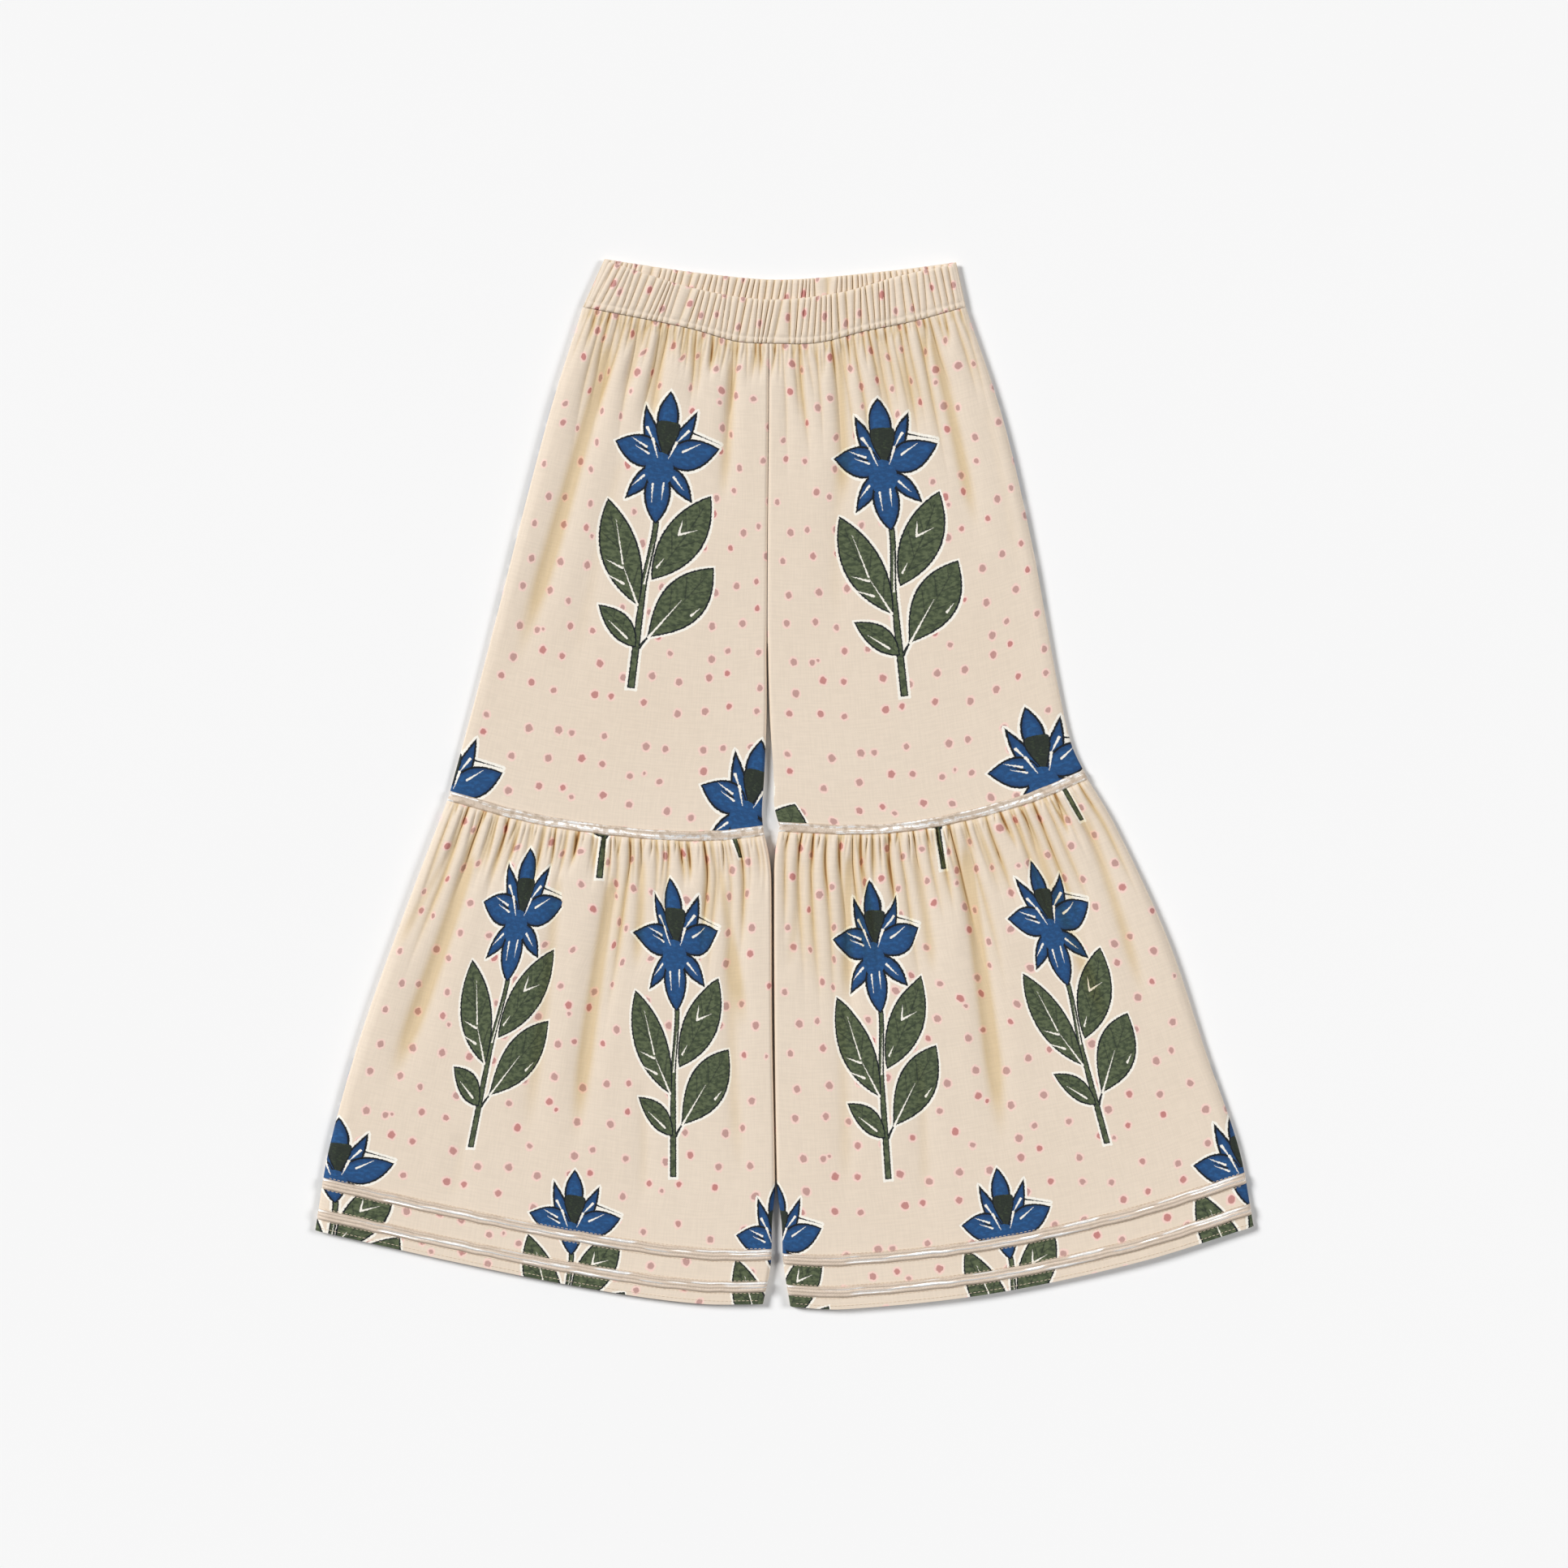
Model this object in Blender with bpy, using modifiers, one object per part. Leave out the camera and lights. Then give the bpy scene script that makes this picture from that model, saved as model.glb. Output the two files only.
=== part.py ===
"""Sharara trousers for a child, laid flat on their back.

The legs lie side by side: each is an upper leg, front and back, with a gathered flounce below
it. A ruched elastic waistband closes the top, a braid covers the seam of each flounce, and two
more run round each hem. X is the width, +Y runs up to the waist and Z is up from the surface.
Right and left are the wearer's, so the right leg lies on the -X side.
"""

import math

import bmesh
import bpy
from mathutils import Vector

MM = 0.001

# Cloth and trim, in millimetres.
WALL = 1.2
SEAM_GAP = 0.3
BRAID_THICK = 1.0
SEAM_BRAID_WIDE = 6.0
HEM_BRAID_WIDE = 6.6
HEM_BRAIDS_ABOVE_HEM = {"lower": 10.5, "upper": 29.5}
BAND_THICK = 2.6

# Heights above the surface, in millimetres.
BACK_TOP = WALL
FRONT_EDGE_TOP = BACK_TOP + SEAM_GAP + WALL
BAND_FRONT_REST = BAND_THICK + SEAM_GAP
PUFF = 1.2
EDGE_ROLL = 10.0
CENTRE_SEAM_LEVEL = 0.55
CROTCH_Y = 93.0

# Gathers: each has its own depth and length, between the least and the most.
GATHERS = 26
FLOUNCE_GATHERS = {"high": 3.2, "hem": 0.7, "least": 34.0, "most": 150.0, "narrow": 1.5}
WAIST_GATHERS = {"high": 2.4, "hem": 0.0, "least": 26.0, "most": 120.0, "narrow": 1.2}
HELD_IN_WAISTBAND = 0.35
RUCHES = 48
RUCHE_DEEP = 0.8

# Outlines, as points in millimetres that a smooth curve runs through.
WAIST_FRONT_TOP = ((-110.8, 322.6), (-54, 305), (-10, 298.5), (33, 302.5), (71, 313), (105.8, 320.6))
WAIST_FRONT_SEAM = (
    (-124.3, 294), (-58.8, 280.8), (-30, 272.8), (-9.5, 271.5), (20, 271.8), (49.3, 279),
    (78.8, 285), (111.8, 294),
)
WAIST_BACK_TOP = ((-110.8, 323.5), (-50, 314.8), (-0.8, 311), (65.8, 316.5), (105.8, 321.5))
WAIST_BACK_SEAM = ((-124.3, 294), (-50, 286.5), (-9.5, 283.4), (60, 287), (111.8, 294))
RIGHT = {
    "outseam": ((-124.3, 294), (-145.8, 225), (-187.3, 65), (-206.8, -7)),
    "inseam": ((-9.65, 271.5), (-10.9, 93), (-10.9, 45), (-12.5, 4), (-13.9, -18), (-12.9, -28.5)),
    "knee": ((-206.8, -7), (-153, -21.5), (-93, -30), (-45, -31.8), (-12.9, -28.5)),
    "flounce_out": ((-206.8, -7), (-232.8, -75), (-261.3, -155), (-280.8, -225), (-289.3, -275)),
    "flounce_in": (
        (-12.9, -28.5), (-9.2, -45), (-7.7, -60), (-7.2, -150), (-5.6, -245), (-7.6, -270),
        (-8.4, -296), (-13.2, -320.5),
    ),
    "hem": ((-289.3, -275), (-202.3, -294.5), (-113.3, -312), (-53.3, -320), (-13.2, -320.5)),
}
LEFT = {
    "outseam": ((111.8, 294), (134.8, 225), (153.3, 145), (167.8, 65), (176.8, 25), (185.5, 6)),
    "inseam": ((-9.35, 271.5), (-10.4, 93), (-9.2, 45), (-5.8, 5), (-4.6, -14), (-1, -26)),
    "knee": ((-1, -26), (50, -28), (93, -23.5), (149, -9), (185.5, 6)),
    "flounce_out": (
        (185.5, 6), (203.8, -25), (236.3, -95), (259.8, -165), (280.3, -225), (289.3, -272.5),
    ),
    "flounce_in": (
        (-1, -26), (-5, -42), (-6.6, -56), (-6.5, -150), (-4.9, -245), (-1.6, -272),
        (-0.8, -294), (3.6, -322),
    ),
    "hem": ((3.6, -322), (36.8, -323.5), (126.8, -314), (216.3, -295), (289.3, -272.5)),
}

# Broad folds in the cloth: a trough from one point of the flat shape to another, with its depth
# and half width, all in millimetres.
FOLD_COLUMNS = ("start_x", "start_y", "end_x", "end_y", "deep", "half")
RIGHT_FLOUNCE_FOLDS = (
    (-189, -34, -248, -202, 2.8, 7.0),
    (-198, -30, -248, -117, 1.6, 5.0),
    (-138, -42, -161, -247, 1.5, 7.0),
    (-105, -46, -132, -242, 2.6, 6.5),
    (-88, -40, -91, -127, 2.0, 5.0),
    (-88, -182, -86, -272, 1.0, 6.0),
    (-43, -42, -19, -167, 1.8, 5.5),
    (-36, -92, -26, -267, 1.3, 7.0),
    (-196, -212, -208, -267, 0.8, 7.0),
)
LEFT_FLOUNCE_FOLDS = (
    (111, -27, 136, -242, 3.0, 6.5),
    (80, -34, 93, -132, 1.8, 5.0),
    (41, -37, 37, -152, 2.2, 5.5),
    (36, -132, 37, -272, 1.2, 7.0),
    (12, -42, 1, -127, 1.3, 5.0),
    (82, -162, 89, -277, 1.1, 6.5),
    (148, -17, 209, -177, 2.0, 6.5),
    (182, -10, 229, -152, 1.8, 5.5),
)
RIGHT_LEG_FOLDS = (
    (-102, 286, -173, 48, 2.6, 7.0),
    (-88, 284, -99, 233, 1.8, 4.5),
    (-73, 280, -83, 213, 2.0, 5.0),
    (-98, 213, -136, 43, 0.9, 8.0),
    (-32, 270, -39, 158, 1.8, 5.0),
)
LEFT_LEG_FOLDS = (
    (35, 277, 37, 163, 2.0, 6.0),
    (34, 203, 31, 78, 0.9, 8.0),
    (59, 279, 65, 218, 1.6, 5.0),
    (88, 286, 124, 138, 2.2, 5.5),
    (124, 243, 148, 103, 0.8, 7.0),
)

# Rows of points down a front panel, in millimetres from its top edge: the fine ones carry the
# gathers, and the others the broad folds.
FLOUNCE_FINE_ROWS = (0, SEAM_BRAID_WIDE / 2, 9, 34)
FLOUNCE_ROWS = (70, 110, 150, 190, 225)
LEG_FINE_ROWS = (0, 8, 30, 62)
LEG_ROWS = (100, 140, 180, 220, 260)
BACK_ROWS = 8
BETWEEN_CREASES_BELOW = 1
FOLDS_FADE = 8.0

CREAM = (0.79, 0.67, 0.54)
SILVER = (0.70, 0.62, 0.53)


def clamp(value):
    return max(0.0, min(1.0, value))


def ease(low, high, value):
    """0 below low, 1 above high, and smooth between."""
    share = clamp((value - low) / (high - low))
    return share * share * (3 - 2 * share)


def uneven(index, kind):
    """A fixed number from 0 to 1 that looks random."""
    return math.sin(index * 12.9898 + kind * 78.233) * 43758.5453 % 1.0


def smooth_path(points):
    """A smooth curve through the points, as a function of the share of its length."""
    points = [Vector(point) for point in points]
    steps = [(b - a).length for a, b in zip(points, points[1:])]
    knots = [sum(steps[:i]) / sum(steps) for i in range(len(points))]
    slopes = []
    for i in range(len(points)):
        before, after = max(i - 1, 0), min(i + 1, len(points) - 1)
        slopes.append((points[after] - points[before]) / (knots[after] - knots[before]))

    def at(share):
        i = max(k for k in range(len(points) - 1) if k == 0 or knots[k] <= share)
        long = knots[i + 1] - knots[i]
        u = (share - knots[i]) / long
        start = points[i] * (1 + 2 * u) * (1 - u) ** 2 + slopes[i] * long * u * (1 - u) ** 2
        end = points[i + 1] * u * u * (3 - 2 * u) + slopes[i + 1] * long * u * u * (u - 1)
        return start + end

    return at


def share_at_x(path, x):
    """The share of a path's length at which it reaches x."""
    low, high = 0.0, 1.0
    for _ in range(40):
        middle = (low + high) / 2
        low, high = (middle, high) if path(middle).x < x else (low, middle)
    return low


def stretch(path, start, end):
    return lambda share: path(start + (end - start) * share)


def moved(path, x, y):
    return lambda share: path(share) + Vector((x, y))


def patch(top, bottom, left, right):
    """A panel's flat shape between its four edges. The side edges are drawn to the ends of
    the top and bottom ones."""

    def side(path, share, top_end, bottom_end):
        return path(share) + (top_end - path(0)) * (1 - share) + (bottom_end - path(1)) * share

    def at(s, t):
        edges = (
            top(s) * (1 - t)
            + bottom(s) * t
            + side(left, t, top(0), bottom(0)) * (1 - s)
            + side(right, t, top(1), bottom(1)) * s
        )
        upper = top(0) * (1 - s) + top(1) * s
        lower = bottom(0) * (1 - s) + bottom(1) * s
        return edges - upper * (1 - t) - lower * t

    return at


def gather_places(count, kind):
    """Where each gather's crease starts across the panel, unevenly spaced, ends included."""
    inner = [(k + 0.5 * (uneven(k, kind) - 0.5)) / count for k in range(1, count)]
    return [0.0, *inner, 1.0]


def gather_depth(index, kind, gathers, down):
    """The share of its full depth that a crease has this far down the panel."""
    size = 0.55 + 0.45 * uneven(index, kind + 1)
    span = gathers["most"] - gathers["least"]
    long = gathers["least"] + span * uneven(index, kind + 2) ** 1.6
    return size * (1 - ease(0.35 * long, long, down))


class FrontPanel:
    """A front panel: its flat shape, and the height of its outer face above the surface."""

    def __init__(self, shape, kind, gathers, folds, outer_at_start, seam_under_braid):
        self.shape = shape
        self.kind = kind
        self.gathers = gathers
        self.folds = [dict(zip(FOLD_COLUMNS, row)) for row in folds]
        self.outer_at_start = outer_at_start
        self.covered = SEAM_BRAID_WIDE / 2 if seam_under_braid else 0.0
        self.long = (shape(0.5, 1) - shape(0.5, 0)).length
        self.places = gather_places(GATHERS, kind)

    def roll(self, s, t):
        """0 at a side that lies on the back panel, and 1 inside."""
        wide = (self.shape(1, t) - self.shape(0, t)).length
        joined = 1.0 if self.covered else 0.0
        open_below = ease(CROTCH_Y + 12, CROTCH_Y - 12, self.shape(s, t).y)
        inner_level = CENTRE_SEAM_LEVEL * (1 - max(joined, open_below))
        from_outer, from_inner = (s, 1 - s) if self.outer_at_start else (1 - s, s)
        outer = 1 - clamp(from_outer * wide / EDGE_ROLL)
        inner = (1 - inner_level) * (1 - clamp(from_inner * wide / EDGE_ROLL))
        return max(0.0, 1 - outer - inner)

    def gathered(self, down):
        """How high the gathers stand between their creases."""
        held = HELD_IN_WAISTBAND if not self.covered else 1.0
        rise = 1 - held * (1 - ease(self.covered - 0.1, self.covered + 6, down))
        fall = ease(60, self.long, down)
        return rise * (self.gathers["high"] * (1 - fall) + self.gathers["hem"] * fall)

    def creases(self, s, down, wide):
        """How deep the gathers' creases cut here, as a share of the gathers' height."""
        total = 0.0
        for k in range(1, GATHERS):
            away = abs(s - self.places[k]) * wide
            half = self.gathers["narrow"] + down * 0.02
            if away < 3 * half:
                total += gather_depth(k, self.kind, self.gathers, down) * math.exp(-((away / half) ** 2))
        return clamp(total)

    def broad_folds(self, flat, down):
        """How deep the broad folds cut here. They fade out before a seam under a braid."""
        total = 0.0
        for fold in self.folds:
            start = Vector((fold["start_x"], fold["start_y"]))
            along = Vector((fold["end_x"], fold["end_y"])) - start
            run = (flat - start).dot(along) / along.length_squared
            if 0 < run < 1:
                away = (flat - start - along * run).length
                ends = ease(0, 0.12, run) * ease(1, 0.5, run)
                total += fold["deep"] * ends * math.exp(-((away / fold["half"]) ** 2))
        clear_of_seam = ease(self.covered, self.covered + FOLDS_FADE, down)
        return total * clear_of_seam * ease(0, FOLDS_FADE, self.long - down - SEAM_BRAID_WIDE)

    def height(self, s, t):
        """The outer face's height above the surface, in millimetres."""
        down = t * self.long
        wide = (self.shape(1, t) - self.shape(0, t)).length
        gathered = self.gathered(down)
        body = PUFF + gathered * (1 - self.creases(s, down, wide))
        body -= self.broad_folds(self.shape(s, t), down)
        return FRONT_EDGE_TOP + self.roll(s, t) * max(0.0, body)

    def point(self, s, t, above=0.0):
        flat = self.shape(s, t)
        return Vector((flat.x, flat.y, self.height(s, t) + above)) * MM

    def columns(self, between):
        """Places across the panel: each crease, and this many points between two creases."""
        found = []
        for a, b in zip(self.places, self.places[1:]):
            found += [a + (b - a) * k / (between + 1) for k in range(between + 1)]
        return [*found, 1.0]


def stitched(mesh, upper, lower):
    """Triangles between two rows of (place across, vertex), which may differ in number."""
    i = j = 0
    while i < len(upper) - 1 or j < len(lower) - 1:
        last_above, last_below = i == len(upper) - 1, j == len(lower) - 1
        if last_below or (not last_above and upper[i + 1][0] <= lower[j + 1][0]):
            mesh.faces.new((upper[i][1], lower[j][1], upper[i + 1][1]))
            i += 1
        else:
            mesh.faces.new((upper[i][1], lower[j][1], lower[j + 1][1]))
            j += 1


def add_object(name, mesh, material):
    data = bpy.data.meshes.new(name)
    mesh.to_mesh(data)
    mesh.free()
    data.materials.append(material)
    data.shade_smooth()
    data.set_sharp_from_angle(angle=math.radians(50))
    obj = bpy.data.objects.new(name, data)
    bpy.data.collections["sharara_trousers"].objects.link(obj)
    return obj


def add_sheet(name, rows, point, wall, outwards, material):
    """A wall of cloth: rows are (place down, places across), and point gives the outer face."""
    mesh = bmesh.new()
    made = [[(s, mesh.verts.new(point(s, t))) for s in places] for t, places in rows]
    for upper, lower in zip(made, made[1:]):
        stitched(mesh, upper, lower)
    obj = add_object(name, mesh, material)
    shell = obj.modifiers.new("wall", "SOLIDIFY")
    shell.thickness = wall * MM
    shell.offset = 1.0 if outwards else -1.0
    shell.use_even_offset = True
    return obj


def add_front(name, panel, between, fine_rows, rows, material):
    """A front panel, with more points across in its gathered rows."""
    fine, coarse = panel.columns(between), panel.columns(BETWEEN_CREASES_BELOW)
    downs = [(down / panel.long, fine) for down in fine_rows]
    downs += [(down / panel.long, coarse) for down in rows]
    return add_sheet(name, downs, panel.point, WALL, False, material)


def add_back(name, shape, material):
    """A back panel, flat on the surface."""
    places = [k / (GATHERS // 2) for k in range(GATHERS // 2 + 1)]
    rows = [(k / BACK_ROWS, places) for k in range(BACK_ROWS + 1)]

    def point(s, t):
        flat = shape(s, t)
        return Vector((flat.x, flat.y, BACK_TOP)) * MM

    return add_sheet(name, rows, point, WALL, False, material)


def add_seam_braid(name, leg, flounce, material):
    """The braid over the seam of leg and flounce, half on each."""
    half = SEAM_BRAID_WIDE / 2
    gap = SEAM_GAP * 1.5
    on_leg, on_flounce = 1 - half / leg.long, half / flounce.long

    def point(s, t):
        above = leg.point(s, 1 - (1 - t) * (1 - on_leg), gap) if t < 1 else leg.point(s, 1, gap)
        below = flounce.point(s, (t - 1) * on_flounce, gap)
        return above if t < 1 else below if t > 1 else (above + below) / 2

    rows = [(t, leg.columns(0)) for t in (0, 1, 2)]
    return add_sheet(name, rows, point, BRAID_THICK, True, material)


def add_hem_braid(name, flounce, above_hem, material):
    """A braid that lies on the flounce, from the flounce's own points."""
    places = flounce.columns(BETWEEN_CREASES_BELOW)
    rows = [(t, places) for t in hem_braid_edges(flounce, above_hem)]

    def point(s, t):
        return flounce.point(s, t, SEAM_GAP)

    return add_sheet(name, rows, point, BRAID_THICK, True, material)


def hem_braid_edges(flounce, above_hem):
    half = HEM_BRAID_WIDE / 2
    return [1 - (above_hem + side * half) / flounce.long for side in (1, -1)]


def add_waistband(name, top, bottom, rest, kind, material):
    """A ruched casing with flat elastic in it: a closed section at each ruche and between."""
    mesh = bmesh.new()
    rings = []
    for column in range(2 * RUCHES + 1):
        s = column / (2 * RUCHES)
        end = column in (0, 2 * RUCHES)
        deep = RUCHE_DEEP * (0.6 + 0.4 * uneven(column, kind)) if column % 2 or end else 0.0
        lean = 0.0 if end else 0.35 * (uneven(column // 2, kind + 1) - 0.5) / RUCHES
        upper, lower = top(clamp(s + lean)), bottom(clamp(s - lean))
        # Share down from the top fold, and height above the underside.
        section = (
            (1.00, 0.0), (1.00, 0.62 * BAND_THICK - 0.4 * deep), (0.90, BAND_THICK - deep),
            (0.14, BAND_THICK - deep), (0.00, 0.5 * BAND_THICK), (0.05, 0.0),
        )
        rings.append([])
        for down, high in section:
            flat = upper.lerp(lower, down)
            rings[-1].append(mesh.verts.new(Vector((flat.x, flat.y, rest + high)) * MM))
    for a, b in zip(rings, rings[1:]):
        for k in range(len(a)):
            mesh.faces.new((a[k - 1], a[k], b[k], b[k - 1]))
    mesh.faces.new(rings[0][::-1])
    mesh.faces.new(rings[-1])
    bmesh.ops.recalc_face_normals(mesh, faces=mesh.faces)
    return add_object(name, mesh, material)


def make_material(name, colour, roughness, metallic):
    material = bpy.data.materials.new(name)
    material.use_nodes = True
    shader = material.node_tree.nodes["Principled BSDF"]
    shader.inputs["Base Color"].default_value = (*colour, 1)
    shader.inputs["Roughness"].default_value = roughness
    shader.inputs["Metallic"].default_value = metallic
    return material


def leg_shapes(outline, waist_seam, outer_at_start):
    """The flat shapes of an upper leg and of its flounce."""
    centre = share_at_x(waist_seam, -9.5)
    half_gap = SEAM_GAP / 2
    if outer_at_start:
        top = moved(stretch(waist_seam, 0, centre), -half_gap, -SEAM_GAP)
    else:
        top = moved(stretch(waist_seam, centre, 1), half_gap, -SEAM_GAP)
    paths = {name: smooth_path(points) for name, points in outline.items()}
    out_in = ("outseam", "inseam") if outer_at_start else ("inseam", "outseam")
    leg = patch(top, paths["knee"], *(paths[name] for name in out_in))
    out_in = ("flounce_out", "flounce_in") if outer_at_start else ("flounce_in", "flounce_out")
    flounce_top = moved(paths["knee"], 0, -SEAM_GAP)
    flounce = patch(flounce_top, paths["hem"], *(paths[name] for name in out_in))
    return leg, flounce


def add_leg(side, outline, outer_at_start, leg_folds, flounce_folds, kind, cloth, braid):
    """All the pieces of one leg."""
    front_leg, front_flounce = leg_shapes(outline, smooth_path(WAIST_FRONT_SEAM), outer_at_start)
    back_leg, back_flounce = leg_shapes(outline, smooth_path(WAIST_BACK_SEAM), outer_at_start)
    leg = FrontPanel(front_leg, kind, WAIST_GATHERS, leg_folds, outer_at_start, False)
    flounce = FrontPanel(front_flounce, kind + 10, FLOUNCE_GATHERS, flounce_folds, outer_at_start, True)

    leg_rows = [*LEG_ROWS, leg.long - SEAM_BRAID_WIDE / 2, leg.long]
    add_front(f"leg_front_{side}", leg, 1, LEG_FINE_ROWS, leg_rows, cloth)
    edges = [hem_braid_edges(flounce, high) for high in HEM_BRAIDS_ABOVE_HEM.values()]
    hem_rows = sorted(t * flounce.long for pair in edges for t in pair)
    flounce_rows = [*FLOUNCE_ROWS, *hem_rows, flounce.long]
    add_front(f"flounce_front_{side}", flounce, 2, FLOUNCE_FINE_ROWS, flounce_rows, cloth)
    add_back(f"leg_back_{side}", back_leg, cloth)
    add_back(f"flounce_back_{side}", back_flounce, cloth)
    add_seam_braid(f"seam_braid_{side}", leg, flounce, braid)
    for row, high in HEM_BRAIDS_ABOVE_HEM.items():
        add_hem_braid(f"hem_braid_{row}_{side}", flounce, high, braid)


def main():
    for obj in list(bpy.data.objects):
        bpy.data.objects.remove(obj)
    collection = bpy.data.collections.new("sharara_trousers")
    bpy.context.scene.collection.children.link(collection)
    cloth = make_material("printed_cotton", CREAM, 0.85, 0.0)
    braid = make_material("metallic_braid", SILVER, 0.4, 0.6)

    add_leg("right", RIGHT, True, RIGHT_LEG_FOLDS, RIGHT_FLOUNCE_FOLDS, 1, cloth, braid)
    add_leg("left", LEFT, False, LEFT_LEG_FOLDS, LEFT_FLOUNCE_FOLDS, 5, cloth, braid)
    front_top, front_seam = smooth_path(WAIST_FRONT_TOP), smooth_path(WAIST_FRONT_SEAM)
    add_waistband("waistband_front", front_top, front_seam, BAND_FRONT_REST, 20, cloth)
    back_top, back_seam = smooth_path(WAIST_BACK_TOP), smooth_path(WAIST_BACK_SEAM)
    add_waistband("waistband_back", back_top, back_seam, 0.0, 24, cloth)


main()
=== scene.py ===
"""Sharara trousers for a child, laid flat on their back: the looks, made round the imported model.

Each cut-and-sewn piece is a thin shell of cloth on its solid's form. The flat shapes are in
millimetres, seen from above: +X is to the wearer's left, +Y runs up to the waist and Z is up
from the surface. Meshes are in metres.
"""

import math

import bpy
import numpy as np
from bpy.props import FloatProperty, FloatVectorProperty, PointerProperty
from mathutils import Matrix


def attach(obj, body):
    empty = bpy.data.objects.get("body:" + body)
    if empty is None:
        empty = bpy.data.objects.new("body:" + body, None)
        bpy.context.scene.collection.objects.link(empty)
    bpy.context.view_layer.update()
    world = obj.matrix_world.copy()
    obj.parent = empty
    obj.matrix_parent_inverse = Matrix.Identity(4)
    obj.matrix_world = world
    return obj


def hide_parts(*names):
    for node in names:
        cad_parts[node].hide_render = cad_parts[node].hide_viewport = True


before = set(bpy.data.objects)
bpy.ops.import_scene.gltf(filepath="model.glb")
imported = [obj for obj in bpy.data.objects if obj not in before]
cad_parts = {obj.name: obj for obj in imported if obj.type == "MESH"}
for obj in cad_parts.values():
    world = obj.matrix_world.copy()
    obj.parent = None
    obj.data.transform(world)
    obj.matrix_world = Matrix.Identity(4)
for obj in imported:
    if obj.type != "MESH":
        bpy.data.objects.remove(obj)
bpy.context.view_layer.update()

bl_info = {
    "name": "Sharara trousers",
    "version": (1, 0, 0),
    "blender": (4, 5, 0),
    "location": "View3D > Sidebar > Trousers",
    "description": "Dresses the sharara trousers in printed cotton, braid and stitching",
    "category": "Add Mesh",
}

MM = 0.001

# Cloth and trim of the solids, in millimetres.
WALL = 1.2
SEAM_GAP = 0.3
BRAID_THICK = 1.0
SEAM_BRAID_WIDE = 6.0
HEM_BRAID_WIDE = 6.6
HEM_BRAIDS_ABOVE_HEM = {"lower": 10.5, "upper": 29.5}
BAND_THICK = 2.6
BACK_TOP = WALL
FRONT_EDGE_TOP = BACK_TOP + SEAM_GAP + WALL
BAND_FRONT_REST = BAND_THICK + SEAM_GAP
PUFF = 1.2
EDGE_ROLL = 10.0
CENTRE_SEAM_LEVEL = 0.55
CROTCH_Y = 93.0
CROTCH_BLEND = 12.0

# Gathers: each has its own depth and length, between the least and the most.
GATHERS = 26
FLOUNCE_GATHERS = {"high": 3.2, "hem": 0.7, "least": 34.0, "most": 150.0}
WAIST_GATHERS = {"high": 2.4, "hem": 0.0, "least": 26.0, "most": 120.0}
HELD_IN_WAISTBAND = 0.35

# Small gathers that only the cloth shows, between the large ones.
SMALL_GATHERS = {
    "flounce": {"count": 54, "deep": 0.62, "least": 12.0, "most": 60.0, "narrow": 0.6},
    "waist": {"count": 62, "deep": 0.50, "least": 8.0, "most": 34.0, "narrow": 0.8},
}

# Outlines, as points in millimetres that a smooth curve runs through.
WAIST_FRONT_TOP = ((-110.8, 322.6), (-54, 305), (-10, 298.5), (33, 302.5), (71, 313), (105.8, 320.6))
WAIST_FRONT_SEAM = (
    (-124.3, 294), (-58.8, 280.8), (-30, 272.8), (-9.5, 271.5), (20, 271.8), (49.3, 279),
    (78.8, 285), (111.8, 294),
)
WAIST_BACK_TOP = ((-110.8, 323.5), (-50, 314.8), (-0.8, 311), (65.8, 316.5), (105.8, 321.5))
WAIST_BACK_SEAM = ((-124.3, 294), (-50, 286.5), (-9.5, 283.4), (60, 287), (111.8, 294))
CENTRE_X = -9.5
OUTLINES = {
    "right": {
        "outseam": ((-124.3, 294), (-145.8, 225), (-187.3, 65), (-206.8, -7)),
        "inseam": ((-9.65, 271.5), (-10.9, 93), (-10.9, 45), (-12.5, 4), (-13.9, -18), (-12.9, -28.5)),
        "knee": ((-206.8, -7), (-153, -21.5), (-93, -30), (-45, -31.8), (-12.9, -28.5)),
        "flounce_out": ((-206.8, -7), (-232.8, -75), (-261.3, -155), (-280.8, -225), (-289.3, -275)),
        "flounce_in": (
            (-12.9, -28.5), (-9.2, -45), (-7.7, -60), (-7.2, -150), (-5.6, -245), (-7.6, -270),
            (-8.4, -296), (-13.2, -320.5),
        ),
        "hem": ((-289.3, -275), (-202.3, -294.5), (-113.3, -312), (-53.3, -320), (-13.2, -320.5)),
    },
    "left": {
        "outseam": ((111.8, 294), (134.8, 225), (153.3, 145), (167.8, 65), (176.8, 25), (185.5, 6)),
        "inseam": ((-9.35, 271.5), (-10.4, 93), (-9.2, 45), (-6.6, 5), (-6.2, -14), (-3, -26)),
        "knee": ((-3, -26), (50, -28), (93, -23.5), (149, -9), (185.5, 6)),
        "flounce_out": (
            (185.5, 6), (203.8, -25), (236.3, -95), (259.8, -165), (280.3, -225), (289.3, -272.5),
        ),
        "flounce_in": (
            (-3, -26), (-5.8, -42), (-6.8, -56), (-6.5, -150), (-4.9, -245), (-1.6, -272),
            (-0.8, -294), (3.6, -322),
        ),
        "hem": ((3.6, -322), (36.8, -323.5), (126.8, -314), (216.3, -295), (289.3, -272.5)),
    },
}
OUTER_AT_START = {"right": True, "left": False}
KINDS = {"right": 1, "left": 5}

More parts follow.
